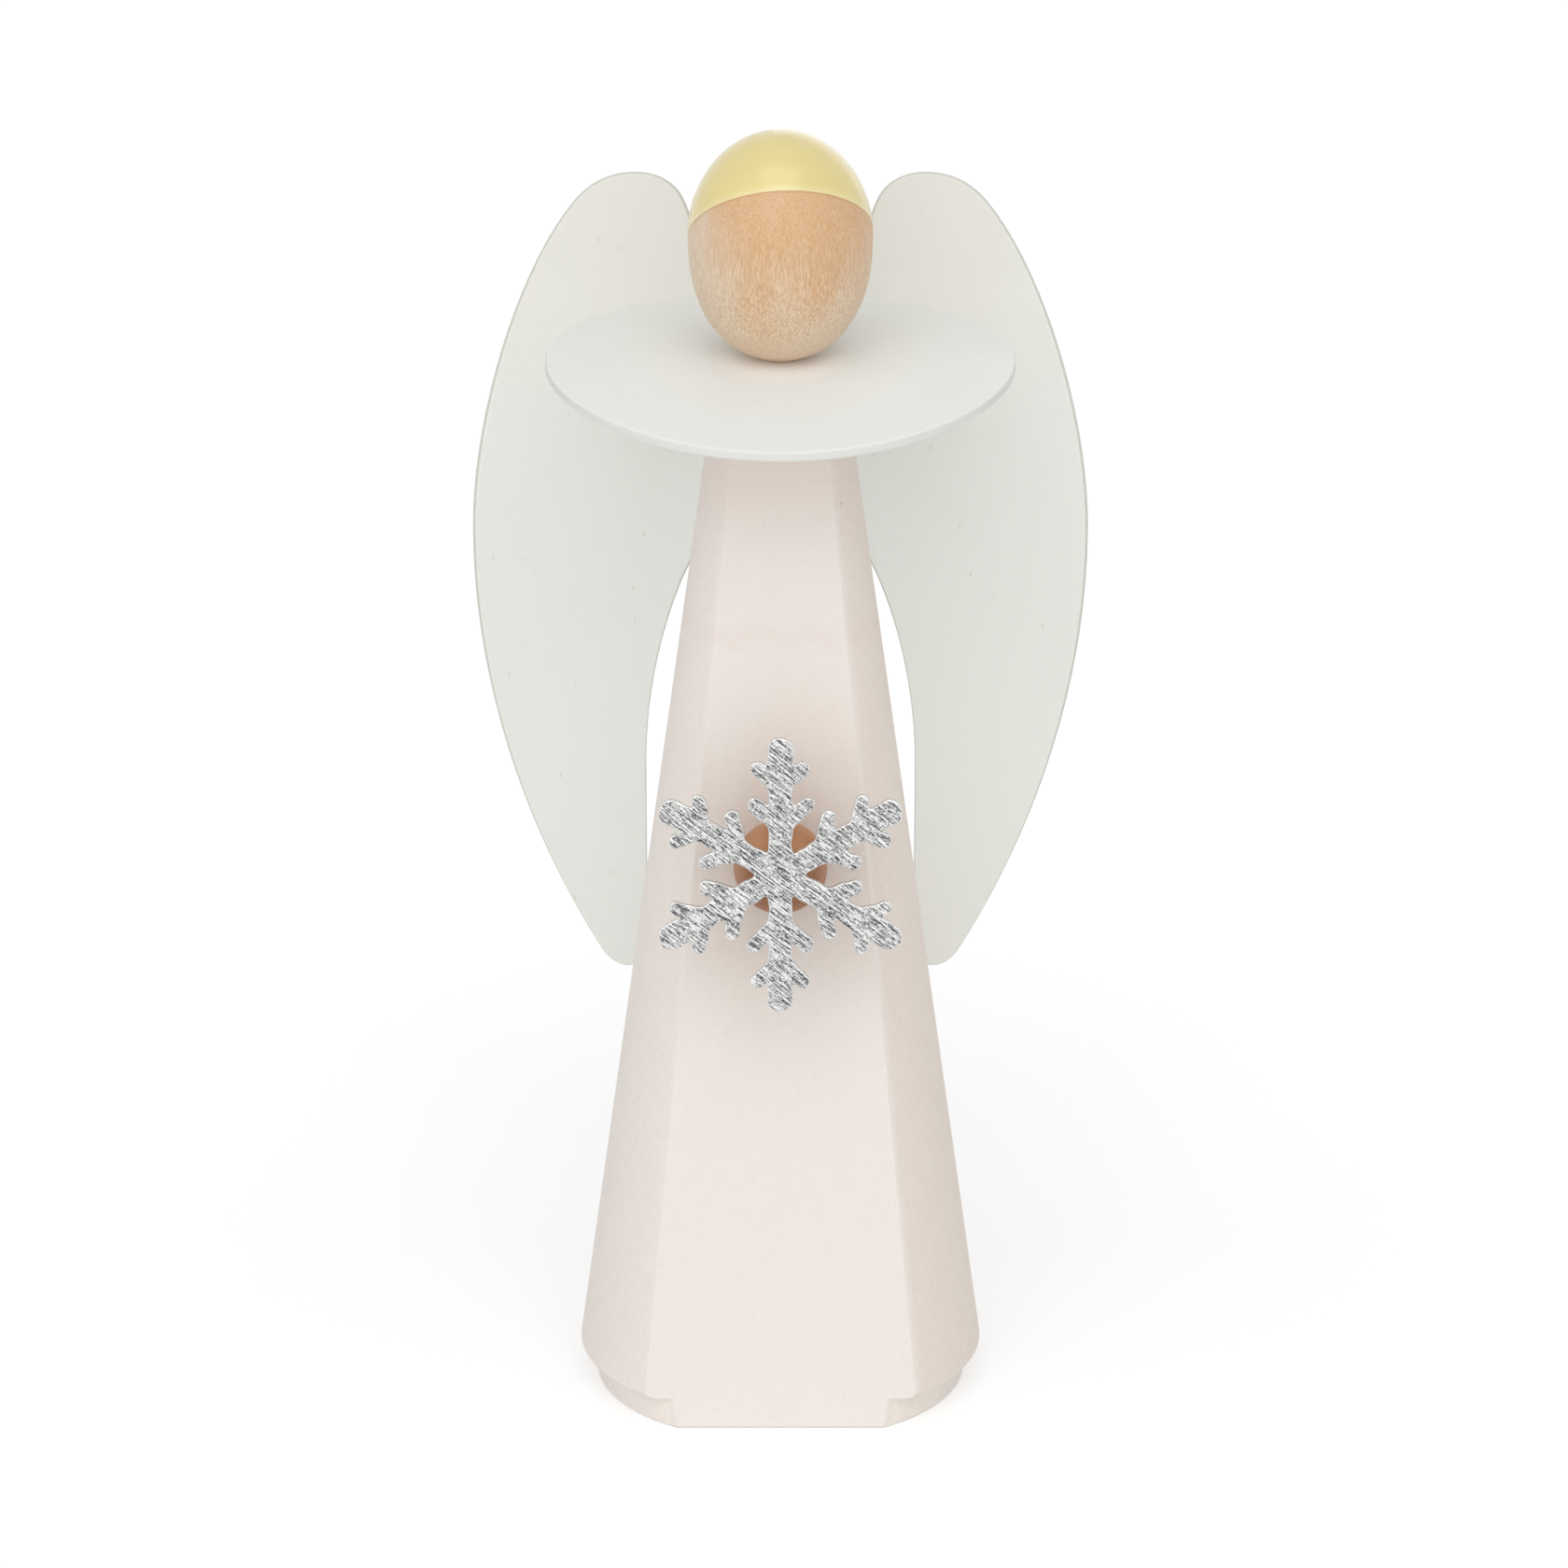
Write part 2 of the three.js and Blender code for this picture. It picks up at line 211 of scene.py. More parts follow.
robe_slope = (RIM_RADIUS - ROBE_TOP_RADIUS) / (ROBE_HEIGHT - FOOT_HEIGHT)
collar_under = ROBE_HEIGHT + GAP + cup_at(ROBE_TOP_RADIUS + COLLAR_FORWARD)
collar_top = collar_under + COLLAR_THICKNESS
head_seat = collar_top + GAP
seat_share = (HEAD_SEAT_RADIUS / HEAD_RADIUS) ** HEAD_CHIN_POWER
head_middle = head_seat + HEAD_CHIN * (1 - seat_share) ** (1 / HEAD_CHIN_POWER)
trough_x = WING_ROOT_X + WING_BEND_RADIUS
trough_y = COLLAR_RADIUS - COLLAR_FORWARD + WING_BEHIND_COLLAR
bend_y = trough_y - WING_BEND_RADIUS
sweep_y = trough_y - WING_SWEEP_RADIUS
ball_centre = GAP + BALL_RADIUS - BALL_FLAT_DEPTH
hand_frame = Matrix.Translation((0, -facet_at(HAND_HEIGHT), HAND_HEIGHT)) @ Matrix.Rotation(
    QUARTER - FACET_LEAN, 4, "X")
flake_frame = hand_frame @ Matrix.Translation((0, 0, ball_centre)) @ Matrix.Rotation(
    FACET_LEAN - FLAKE_LEAN, 4, "X")
flake_middle = BALL_RADIUS - BALL_FLAT_DEPTH + GAP + FLAKE_THICKNESS / 2


# Mesh helpers
def mesh_of(name, points, faces):
    """Smooth-shaded mesh in metres from points in millimetres."""
    mesh = bpy.data.meshes.new(name)
    mesh.from_pydata((np.asarray(points, float) * MM).tolist(), [], [list(face) for face in faces])
    mesh.polygons.foreach_set("use_smooth", [True] * len(mesh.polygons))
    return mesh


def placed(points, matrix):
    """Points moved by a 4x4 matrix."""
    turn = np.array(matrix)
    return np.asarray(points, float) @ turn[:3, :3].T + turn[:3, 3]


def circle(radius, height, steps=ROUND_STEPS):
    """Ring of points round the Z axis; a radius of nothing gives a single point."""
    if radius <= 0:
        return np.array([[0.0, 0.0, height]])
    angles = np.arange(steps) * 2 * math.pi / steps
    return np.column_stack([radius * np.cos(angles), radius * np.sin(angles), np.full(steps, height)])


def skin(rings, loop=False):
    """Points and faces over rings of points, from below upwards. A ring of one point closes an end."""
    starts = np.cumsum([0] + [len(ring) for ring in rings])
    pairs = [(i, i + 1) for i in range(len(rings) - 1)]
    if loop:
        pairs.append((len(rings) - 1, 0))
    faces = []
    for low, high in pairs:
        sizes = len(rings[low]), len(rings[high])
        for j in range(max(sizes)):
            k = j + 1
            corners = [starts[low] + j % sizes[0], starts[low] + k % sizes[0]]
            corners += [starts[high] + k % sizes[1], starts[high] + j % sizes[1]]
            faces.append([int(corner) for corner in dict.fromkeys(corners)])
    return np.vstack(rings), faces


def bar(radius, low, high, matrix=Matrix.Identity(4)):
    """Points and faces of a round bar."""
    rings = [circle(r, z, ROUND_STEPS // 4) for r, z in ((0, low), (radius, low), (radius, high), (0, high))]
    points, faces = skin(rings)
    return placed(points, matrix), faces


def block(low, high):
    """Points and faces of a block between two corners."""
    (x0, y0, z0), (x1, y1, z1) = low, high
    rings = [np.array([[x0, y0, z], [x1, y0, z], [x1, y1, z], [x0, y1, z]]) for z in (z0, z1)]
    points, faces = skin(rings)
    return points, [[3, 2, 1, 0]] + faces + [[4, 5, 6, 7]]


def joined(bodies):
    """Points and faces of several bodies as one."""
    points = []
    faces = []
    for body_points, body_faces in bodies:
        start = sum(len(p) for p in points)
        points.append(body_points)
        faces += [[start + corner for corner in face] for face in body_faces]
    return np.vstack(points), faces


def cut(mesh, bodies):
    """The mesh with bodies taken out of it."""
    whole = bpy.data.objects.new("whole", mesh)
    tool = bpy.data.objects.new("tool", mesh_of("tool", *joined(bodies)))
    for shape in (whole, tool):
        bpy.context.scene.collection.objects.link(shape)
    step = whole.modifiers.new("cut", "BOOLEAN")
    step.operation = "DIFFERENCE"
    step.solver = "EXACT"
    step.object = tool
    ready = whole.evaluated_get(bpy.context.evaluated_depsgraph_get())
    result = bpy.data.meshes.new_from_object(ready)
    result.name = mesh.name
    for shape in (whole, tool):
        bpy.data.objects.remove(shape)
    result.polygons.foreach_set("use_smooth", [True] * len(result.polygons))
    return result


def round_edge(edge, steps=EDGE_STEPS):
    """Steps round a quarter edge: share drawn in, share gone down, and the normal's two parts."""
    angles = [QUARTER * i / steps for i in range(steps + 1)]
    return [(edge * (1 - math.sin(a)), edge * (1 - math.cos(a)), math.sin(a), math.cos(a)) for a in angles]


def mark_edge(mesh, shares):
    """Keeps on each point how far it lies round a cut edge, from 0 on a face to 1 on the edge."""
    mark = mesh.attributes.new(CUT_EDGE, "FLOAT", "POINT")
    mark.data.foreach_set("value", np.asarray(shares, np.float32))


def add_piece(name, mesh, finish, nodes=(), sharp=None):
    """Puts a mesh in the scene as a piece that stands for those nodes, with its finish."""
    shape = bpy.data.objects.new(name, mesh)
    bpy.context.scene.collection.objects.link(shape)
    mesh.materials.clear()
    mesh.materials.append(finish)
    if sharp is not None:
        mesh.set_sharp_from_angle(angle=sharp)
        even = shape.modifiers.new("even shading", "WEIGHTED_NORMAL")
        even.keep_sharp = True
    if nodes:
        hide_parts(*nodes)
    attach(shape, "root")
    return shape


# Robe
def robe_ring(height, radius, inset=0.0):
    """Ring from the facet's right corner round the back to its left corner, both corners eased."""
    outer = radius - inset
    flat = facet_at(height) - inset
    middle_y = -(flat - FACET_CORNER)
    middle_x = math.sqrt((outer - FACET_CORNER) ** 2 - middle_y ** 2)
    turn = math.atan2(middle_y, middle_x)
    corner = np.linspace(-QUARTER, turn, EDGE_STEPS + 1)
    eased = np.column_stack([np.cos(corner), np.sin(corner)]) * FACET_CORNER
    right = eased + (middle_x, middle_y)
    sweep = np.linspace(turn, math.pi - turn, ROBE_STEPS)[1:-1]
    back = np.column_stack([outer * np.cos(sweep), outer * np.sin(sweep)])
    left = right[::-1] * (-1, 1)
    plan = np.vstack([right, back, left])
    return np.column_stack([plan, np.full(len(plan), height)])


def robe_mesh():
    """Turned cone on its foot, the flat, the neck bore, the peg hole and the two saw kerfs."""
    foot = [robe_ring(down, FOOT_RADIUS, drawn) for drawn, down, _, _ in round_edge(ROBE_EDGE)]
    rim = [robe_ring(FOOT_HEIGHT, FOOT_RADIUS)]
    for drawn, down, _, _ in round_edge(RIM_ROUND):
        rim.append(robe_ring(FOOT_HEIGHT + down, RIM_RADIUS - robe_slope * down - drawn))
    heights = np.linspace(FOOT_HEIGHT + RIM_ROUND, ROBE_HEIGHT - ROBE_EDGE, CONE_STEPS + 1)[1:]
    cone = [robe_ring(z, RIM_RADIUS - robe_slope * (z - FOOT_HEIGHT)) for z in heights]
    top = []
    for drawn, down, _, _ in round_edge(ROBE_EDGE)[-2::-1]:
        z = ROBE_HEIGHT - down
        top.append(robe_ring(z, RIM_RADIUS - robe_slope * (z - FOOT_HEIGHT), drawn))
    rings = foot + rim + cone + top
    count = len(rings[0])
    flat_from = len(foot) - 1
    flat_to = len(rings) - 1 - len(top)
    faces = [list(range(count))[::-1]]
    for k in range(len(rings) - 1):
        low, high = k * count, (k + 1) * count
        faces += [[low + j, low + j + 1, high + j + 1, high + j] for j in range(count - 1)]
        if k < flat_from or k >= flat_to:
            faces.append([low + count - 1, low, high, high + count - 1])
    right = [k * count for k in range(flat_from, flat_to + 1)]
    left = [k * count + count - 1 for k in range(flat_from, flat_to + 1)]
    faces.append(right + left[::-1])
    faces.append([(len(rings) - 1) * count + j for j in range(count)])
    whole = mesh_of("robe", np.vstack(rings), faces)
    return cut(whole, robe_cuts())


def robe_cuts():
    """What is bored and sawn out of the robe."""
    neck = bar(DOWEL_RADIUS + KERF_ROOM, ROBE_HEIGHT - DOWEL_IN_ROBE - KERF_ROOM, ROBE_HEIGHT + GAP)
    peg = bar(PEG_RADIUS + KERF_ROOM, -PEG_IN_ROBE - KERF_ROOM, GAP, hand_frame)
    cuts = [neck, peg]
    half = WING_THICKNESS / 2 + KERF_ROOM
    low = ROBE_HEIGHT + WING_ROOT_LOW_RISE - GAP
    high = ROBE_HEIGHT + WING_ROOT_TOP_RISE + GAP
    for side in (-1, 1):
        x = side * WING_ROOT_X
        cuts.append(block((x - half, WING_ROOT_DEPTH_Y - KERF_ROOM, low), (x + half, RIM_RADIUS, high)))
    return cuts


# Collar
def collar_mesh():
    """Cupped disc with eased edges, bored where the dowel comes through."""
    bore = DOWEL_RADIUS + KERF_ROOM
    face = list(np.linspace(bore, COLLAR_RADIUS - COLLAR_EDGE, COLLAR_STEPS))
    profile = [(radius, 0.0, 0.0) for radius in face]
    edge = [(COLLAR_RADIUS - drawn, down, share) for drawn, down, share, _ in round_edge(COLLAR_EDGE)[1:]]
    profile += edge
    profile += [(radius, COLLAR_THICKNESS - down, share) for radius, down, share in edge[::-1]]
    profile += [(radius, COLLAR_THICKNESS, 0.0) for radius in face[::-1]]
    rings = []
    for radius, height, _ in profile:
        ring = circle(radius, collar_under + height)
        ring[:, 1] += COLLAR_FORWARD * (COLLAR_RADIUS - radius) / (COLLAR_RADIUS - bore)
        ring[:, 2] -= cup_at(ring[:, 1])
        ring[:, 1] -= COLLAR_FORWARD
        rings.append(ring)
    mesh = mesh_of("collar", *skin(rings, loop=True))
    mark_edge(mesh, np.repeat([share for _, _, share in profile], ROUND_STEPS))
    return mesh


# Head and hair
def egg_half(height):
    """Half height of the egg above or below its widest ring, and how full its curve is there."""
    upper = height >= 0
    return np.where(upper, HEAD_CROWN, HEAD_CHIN), np.where(upper, HEAD_CROWN_POWER, HEAD_CHIN_POWER)


def egg_level(points):
    """Less than 1 inside the egg and more outside, for points about its middle."""
    half, power = egg_half(points[:, 2])
    wide = np.hypot(points[:, 0], points[:, 1])
    return (wide / HEAD_RADIUS) ** power + (np.abs(points[:, 2]) / half) ** power


def egg_out(points):
    """Outward directions on the egg, for points about its middle."""
    half, power = egg_half(points[:, 2])
    wide = np.hypot(points[:, 0], points[:, 1])
    sideways = wide ** (power - 2) / HEAD_RADIUS ** power
    upwards = np.abs(points[:, 2]) ** (power - 2) / half ** power
    slope = points * np.column_stack([sideways, sideways, upwards])
    return slope / np.linalg.norm(slope, axis=1, keepdims=True)


def egg_along(start, directions):
    """Where rays from a point inside the egg leave it, about its middle, by halving."""
    near = np.zeros(len(directions))
    far = np.full(len(directions), 2 * HEAD_CHIN)
    for _ in range(HALVINGS):
        middle = (near + far) / 2
        within = egg_level(start + directions * middle[:, None]) < 1
        near = np.where(within, middle, near)
        far = np.where(within, far, middle)
    return start + directions * near[:, None]


def head_mesh():
    """Egg under its lacquer, on a small eased seat, bored for the dowel."""
    bore = DOWEL_RADIUS + KERF_ROOM
    bore_top = head_seat + DOWEL_IN_HEAD + KERF_ROOM
    seat = collar_top + GLUE_LINE
    profile = [(0.0, bore_top), (bore, bore_top), (bore, seat), (HEAD_SEAT_RADIUS - HEAD_SEAT_EDGE, seat)]
    profile.append((HEAD_SEAT_RADIUS - HAIR_COAT, seat + HEAD_SEAT_EDGE))
    low = math.asin(math.sqrt(1 - seat_share))
    for angle in np.linspace(-low, QUARTER, ROUND_STEPS // 2)[1:]:
        half, power = egg_half(angle)
        wide = HEAD_RADIUS * math.cos(angle) ** (2 / power)
        tall = half * math.copysign(abs(math.sin(angle)) ** (2 / power), angle)
        point = np.array([[wide, 0, tall]])
        x, _, z = (point - egg_out(point) * HAIR_COAT)[0]
        profile.append((max(x, 0.0) if angle < QUARTER else 0.0, head_middle + z))
    return mesh_of("head", *skin([circle(radius, height) for radius, height in profile]))


def hair_mesh():
    """Coat of lacquer over the crown and back of the egg, with a soft lip along the hair line."""
    up = np.array([HAIR_LINE_TILT, HAIR_LINE_RISE, 1.0])
    up /= np.linalg.norm(up)
    start = np.array([0, 0, HAIR_LINE])
    side = np.array([1.0, 0, 0]) - up * up[0]
    side /= np.linalg.norm(side)
    ahead = np.cross(up, side)
    angles = np.arange(ROUND_STEPS) * 2 * math.pi / ROUND_STEPS
    rim = np.outer(np.cos(angles), side) + np.outer(np.sin(angles), ahead)

    def ring(turn, depth):
        """Ring at an angle from the crown's middle, a depth under the egg's surface."""
        rays = math.cos(turn) * up + math.sin(turn) * rim
        surface = egg_along(start, rays)
        return surface - egg_out(surface) * depth

    def pole(depth):
        """The crown's middle, a depth under the egg's surface."""
        surface = egg_along(start, up[None, :])
        return surface - egg_out(surface) * depth

    lip = round_edge(HAIR_COAT * 2, HAIR_LIP_STEPS)
    lip_turn = HAIR_COAT * 2 / HEAD_RADIUS
    spread = np.linspace(0, QUARTER - lip_turn, ROUND_STEPS // 3)[1:]
    outside = [ring(turn, 0.0) for turn in spread[::-1]]
    edge = [ring(QUARTER - drawn / HEAD_RADIUS, down) for drawn, down, _, _ in lip[:0:-1]]
    under = [ring(turn, HAIR_DEPTH) for turn in spread]
    rings = [pole(HAIR_DEPTH)] + under + edge + outside + [pole(0.0)]
    points, faces = skin(rings)
    return mesh_of("hair_lacquer", points + (0, 0, head_middle), faces)


# Boards
def board_mesh(name, outline, half, edge, inner, place, flip=False):
    """Closed board over a flat outline with eased edges. place gives points and their three directions."""
    outline = np.asarray(outline, float)
    count = len(outline)
    following = np.roll(outline, -1, 0) - outline
    following /= np.linalg.norm(following, axis=1, keepdims=True)
    right = np.column_stack([following[:, 1], -following[:, 0]])
    before = np.roll(right, 1, 0)
    out = (right + before) / (1 + (right * before).sum(1, keepdims=True))
    flat_out = out / np.linalg.norm(out, axis=1, keepdims=True)
    steps = [(drawn, half - down, sideways, facing) for drawn, down, sideways, facing in round_edge(edge)]
    steps += [(drawn, -height, sideways, -facing) for drawn, height, sideways, facing in steps[::-1]]
    spots = []
    normals = []
    for drawn, height, sideways, facing in steps:
        spots.append(np.column_stack([outline - out * drawn, np.full(count, height)]))
        normals.append(np.column_stack([flat_out * sideways, np.full(count, facing)]))
    faces = []
    for k in range(len(steps) - 1):
        for j in range(count):
            low, high = k * count, (k + 1) * count
            follows = (j + 1) % count
            faces.append([low + follows, low + j, high + j, high + follows])
    border = [Vector(spot[:2]) for spot in spots[0]]
    inner = [Vector(spot) for spot in inner]
    filled, _, triangles, origins, _, _ = delaunay_2d_cdt(
        border + inner, [], [list(range(count))], FILL_INSIDE, FILL_MERGE)
    total = len(steps) * count
    for height, facing, last in ((half, 1, 0), (-half, -1, len(steps) - 1)):
        index = {}
        for i, origin in enumerate(origins):
            if origin and origin[0] < count:
                index[i] = last * count + origin[0]
                continue
            index[i] = total
            total += 1
            spots.append(np.array([[filled[i].x, filled[i].y, height]]))
            normals.append(np.array([[0.0, 0.0, facing]]))
        for face in triangles:
            corners = [index[corner] for corner in face]
            faces.append(corners if facing > 0 else corners[::-1])
    points, (along, up, over) = place(np.vstack(spots))
    flat = np.vstack(normals)
    shaded = along * flat[:, :1] + up * flat[:, 1:2] + over * flat[:, 2:]
    if flip:
        points = points * (-1, 1, 1)
        shaded = shaded * (-1, 1, 1)
        faces = [face[::-1] for face in faces]
    mesh = mesh_of(name, points, faces)
    mesh.normals_split_custom_set_from_vertices(shaded.tolist())
    mark_edge(mesh, np.hypot(flat[:, 0], flat[:, 1]))
    return mesh


def inside(outline, spots, margin):
    """The spots that lie inside a closed outline, no closer to it than a margin."""
    outline = np.asarray(outline)
    ends = np.roll(outline, -1, 0)
    kept = []
    for x, y in spots:
        crosses = (outline[:, 1] > y) != (ends[:, 1] > y)
        rise = np.where(ends[:, 1] == outline[:, 1], 1.0, ends[:, 1] - outline[:, 1])
        at = outline[:, 0] + (y - outline[:, 1]) * (ends[:, 0] - outline[:, 0]) / rise
        odd = np.count_nonzero(crosses & (x < at)) % 2
        if odd and np.hypot(outline[:, 0] - x, outline[:, 1] - y).min() > margin:
            kept.append((x, y))
    return kept


# Wings
root_run = bend_y - WING_ROOT_DEPTH_Y
bend_run = WING_BEND_RADIUS * QUARTER


def wing_edge():
    """Points of the wing's edge as seen from the front."""
    points = []
    for i, (x, rise, heading, _, after) in enumerate(WING_KNOTS):
        to_x, to_rise, to_heading, before, _ = WING_KNOTS[(i + 1) % len(WING_KNOTS)]
        start, end = np.array([x, rise]), np.array([to_x, to_rise])
        chord = np.linalg.norm(end - start)
        leave = math.radians(heading)
        arrive = math.radians(to_heading)
        first = start + after * chord * np.array([math.cos(leave), math.sin(leave)])
        second = end - before * chord * np.array([math.cos(arrive), math.sin(arrive)])
        for t in np.arange(KNOT_STEPS if after > 0 else 1) / KNOT_STEPS:
            s = 1 - t
            points.append(s ** 3 * start + 3 * s * s * t * first + 3 * s * t * t * second + t ** 3 * end)
    return np.array(points) + (0, ROBE_HEIGHT)


def along_board(x):
    """Length along the bent board at a distance from the middle."""
    if x < trough_x:
        return root_run + WING_BEND_RADIUS * math.acos(min(1, (trough_x - x) / WING_BEND_RADIUS))
    swept = math.asin((x - trough_x) / (WING_SWEEP_RADIUS + WING_EDGE_REACH))
    return root_run + bend_run + WING_SWEEP_RADIUS * swept


def wing_outline():
    """Wing edge laid flat, counter-clockwise, with the tongue that sits in the kerf."""
    edge = wing_edge()
    free = [(along_board(x), z) for x, z in edge if x > WING_ROOT_X + WING_THICKNESS / 4]
    low = ROBE_HEIGHT + WING_ROOT_LOW_RISE
    high = ROBE_HEIGHT + WING_ROOT_TOP_RISE
    first = next(i for i, (x, z) in enumerate(edge) if x < WING_ROOT_X)
    tongue = [(root_run, low), (0.0, low), (0.0, high), (root_run, high)]
    return np.array(free[:first] + tongue + free[first:])[::-1]


def bent(spots):
    """Places flat spots on the bent board: points, and directions along, up and out of its front."""
    s = spots[:, 0]
    beta = np.clip((s - root_run) / WING_BEND_RADIUS, 0, QUARTER)
    gamma = np.maximum(s - root_run - bend_run, 0) / WING_SWEEP_RADIUS
    heading = QUARTER - beta - gamma
    x = np.where(gamma > 0, trough_x + WING_SWEEP_RADIUS * np.sin(gamma),
                 trough_x - WING_BEND_RADIUS * np.cos(beta))
    y = np.where(gamma > 0, sweep_y + WING_SWEEP_RADIUS * np.cos(gamma),
                 bend_y + WING_BEND_RADIUS * np.sin(beta))
    y = np.where(s < root_run, WING_ROOT_DEPTH_Y + s, y)
    nothing = np.zeros(len(s))
    along = np.column_stack([np.cos(heading), np.sin(heading), nothing])
    over = np.column_stack([np.sin(heading), -np.cos(heading), nothing])
    up = np.column_stack([nothing, nothing, nothing + 1])
    points = np.column_stack([x, y, spots[:, 1]]) + over * spots[:, 2:]
    return points, (along, up, over)


def wing_mesh(name, side):
    """Bent board with eased edges; side is 1 for +X and -1 for -X."""
    outline = wing_outline()
    low, high = outline.min(0), outline.max(0)
    along = np.arange(low[0], high[0], WING_FILL_ALONG)
    heights = np.arange(low[1], high[1], WING_FILL_UP)
    inner = inside(outline, [(s, z) for s in along for z in heights], WING_FILL_MARGIN)
    return board_mesh(name, outline, WING_THICKNESS / 2, WING_EDGE, inner, bent, flip=side < 0)


# Hands
def ball_mesh():
    """Turned ball, flattened where it meets the facet and where the snowflake is glued on."""
    rings = []
    for height in BALL_RADIUS * np.sin(np.linspace(-QUARTER, QUARTER, ROUND_STEPS // 2 + 1)):
        rings.append(circle(math.sqrt(max(BALL_RADIUS ** 2 - height ** 2, 0)), height))
    points, faces = skin(rings)
    points = placed(points, Matrix.Translation((0, 0, ball_centre)))
    points = placed(points, hand_frame)
    whole = mesh_of("hand_ball", points, faces)
    far = BALL_CUTTER
    front = BALL_RADIUS - BALL_FLAT_DEPTH + GAP - GLUE_LINE
    behind, sides = block((-far, -far, -far), (far, far, 0))
    behind = placed(behind, hand_frame @ Matrix.Translation((0, 0, GLUE_LINE)))
    ahead, sides = block((-far, -far, 0), (far, far, far))
    ahead = placed(ahead, flake_frame @ Matrix.Translation((0, 0, front)))
    hole = bar(PEG_RADIUS + KERF_ROOM, -GAP, PEG_IN_BALL + GAP + KERF_ROOM, hand_frame)
    return cut(whole, [(behind, sides), (ahead, sides), hole])


# Snowflake
def flake_bars():
    """Bars of the snowflake as two ends and a width."""
    lobe_end = FLAKE_REACH - FLAKE_LOBE_WIDTH / 2
    lobe_from = lobe_end - FLAKE_LOBE_LENGTH + FLAKE_LOBE_WIDTH
    arm = [((0, 0), (0, lobe_end), FLAKE_STEM_WIDTH), ((0, lobe_from), (0, lobe_end), FLAKE_LOBE_WIDTH)]
    for side in (-1, 1):
        inner = (side * FLAKE_INNER_SPREAD, FLAKE_INNER_FROM + FLAKE_INNER_RUN)
        outer = (side * FLAKE_OUTER_SPREAD, FLAKE_OUTER_FROM + FLAKE_OUTER_RUN)
        arm.append(((0, FLAKE_INNER_FROM), inner, FLAKE_INNER_WIDTH))
        arm.append(((0, FLAKE_OUTER_FROM), outer, FLAKE_OUTER_WIDTH))
    bars = []
    for i in range(FLAKE_ARMS):
        angle = i * 2 * math.pi / FLAKE_ARMS
        turn = np.array([[math.cos(angle), -math.sin(angle)], [math.sin(angle), math.cos(angle)]])
        bars += [(turn @ start, turn @ end, width) for start, end, width in arm]
    return bars


def wobble(x, y, waves):
    """How far the saw strayed at a place."""
    return FLAKE_WOBBLE * sum(share * np.sin(rate_x * x + rate_y * y + start)
                              for rate_x, rate_y, start, share in waves)


def flake_field(x, y):
    """Distance to the snowflake's edge, negative inside, with the crooks between its bars filled."""
    wide_x = x + wobble(x, y, FLAKE_WAVES_X)
    wide_y = y + wobble(x, y, FLAKE_WAVES_Y)
    field = None
    for (x0, y0), (x1, y1), width in flake_bars():
        run = (x1 - x0) ** 2 + (y1 - y0) ** 2
        share = np.clip(((wide_x - x0) * (x1 - x0) + (wide_y - y0) * (y1 - y0)) / run, 0, 1)
        gap = np.hypot(wide_x - x0 - share * (x1 - x0), wide_y - y0 - share * (y1 - y0)) - width / 2
        if field is None:
            field = gap
            continue
        blend = np.maximum(FLAKE_CROOK - np.abs(field - gap), 0) / FLAKE_CROOK
        field = np.minimum(field, gap) - blend * blend * FLAKE_CROOK / 4
    return field


def flake_outline():
    """Closed edge of the snowflake, followed from square to square of a fine grid."""
    reach = FLAKE_REACH + FLAKE_TRACE_MARGIN
    axis = np.arange(-reach, reach, FLAKE_TRACE_STEP)
    field = flake_field(*np.meshgrid(axis, axis, indexing="ij"))
    inner = field < 0
    joins = {}

    def crossing(a, b):
        """Name and place of the crossing between two grid corners."""
        share = field[a] / (field[a] - field[b])
        return (a, b), tuple(axis[low] + share * (axis[high] - axis[low]) for low, high in zip(a, b))

    places = {}
    mixed = inner[:-1, :-1].astype(int) + inner[1:, :-1] + inner[:-1, 1:] + inner[1:, 1:]
    for i, j in np.argwhere((mixed > 0) & (mixed < 4)).tolist():
        corners = [(i, j), (i + 1, j), (i + 1, j + 1), (i, j + 1)]
        found = []
        for a, b in zip(corners, corners[1:] + corners[:1]):
            if inner[a] != inner[b]:
                name, spot = crossing(*sorted((a, b)))
                places[name] = spot
                found.append(name)
        for a, b in zip(found[::2], found[1::2]):
            joins.setdefault(a, []).append(b)
            joins.setdefault(b, []).append(a)
    best = []
    left = set(joins)
    while left:
        walk = [left.pop()]
        while True:
            onward = [name for name in joins[walk[-1]] if name in left]
            if not onward:
                break
            walk.append(onward[0])
            left.discard(onward[0])
        best = max(best, walk, key=len)
    line = np.array([places[name] for name in best])
    closed = np.vstack([line, line[:1]])
    length = np.concatenate([[0], np.cumsum(np.hypot(*np.diff(closed, axis=0).T))])
    even = np.linspace(0, length[-1], int(length[-1] / FLAKE_EDGE_SPACING), endpoint=False)
    smooth = np.column_stack([np.interp(even, length, closed[:, k]) for k in (0, 1)])
    area = np.sum(smooth[:, 0] * np.roll(smooth[:, 1], -1) - smooth[:, 1] * np.roll(smooth[:, 0], -1))
    return smooth if area > 0 else smooth[::-1]


def on_ball(spots):
    """Places flat spots on the snowflake's board, on the ball's front flat."""
    points = placed(spots + (0, 0, flake_middle), flake_frame)
    turn = np.array(flake_frame)[:3, :3]
    return points, [np.tile(turn[:, k], (len(spots), 1)) for k in range(3)]


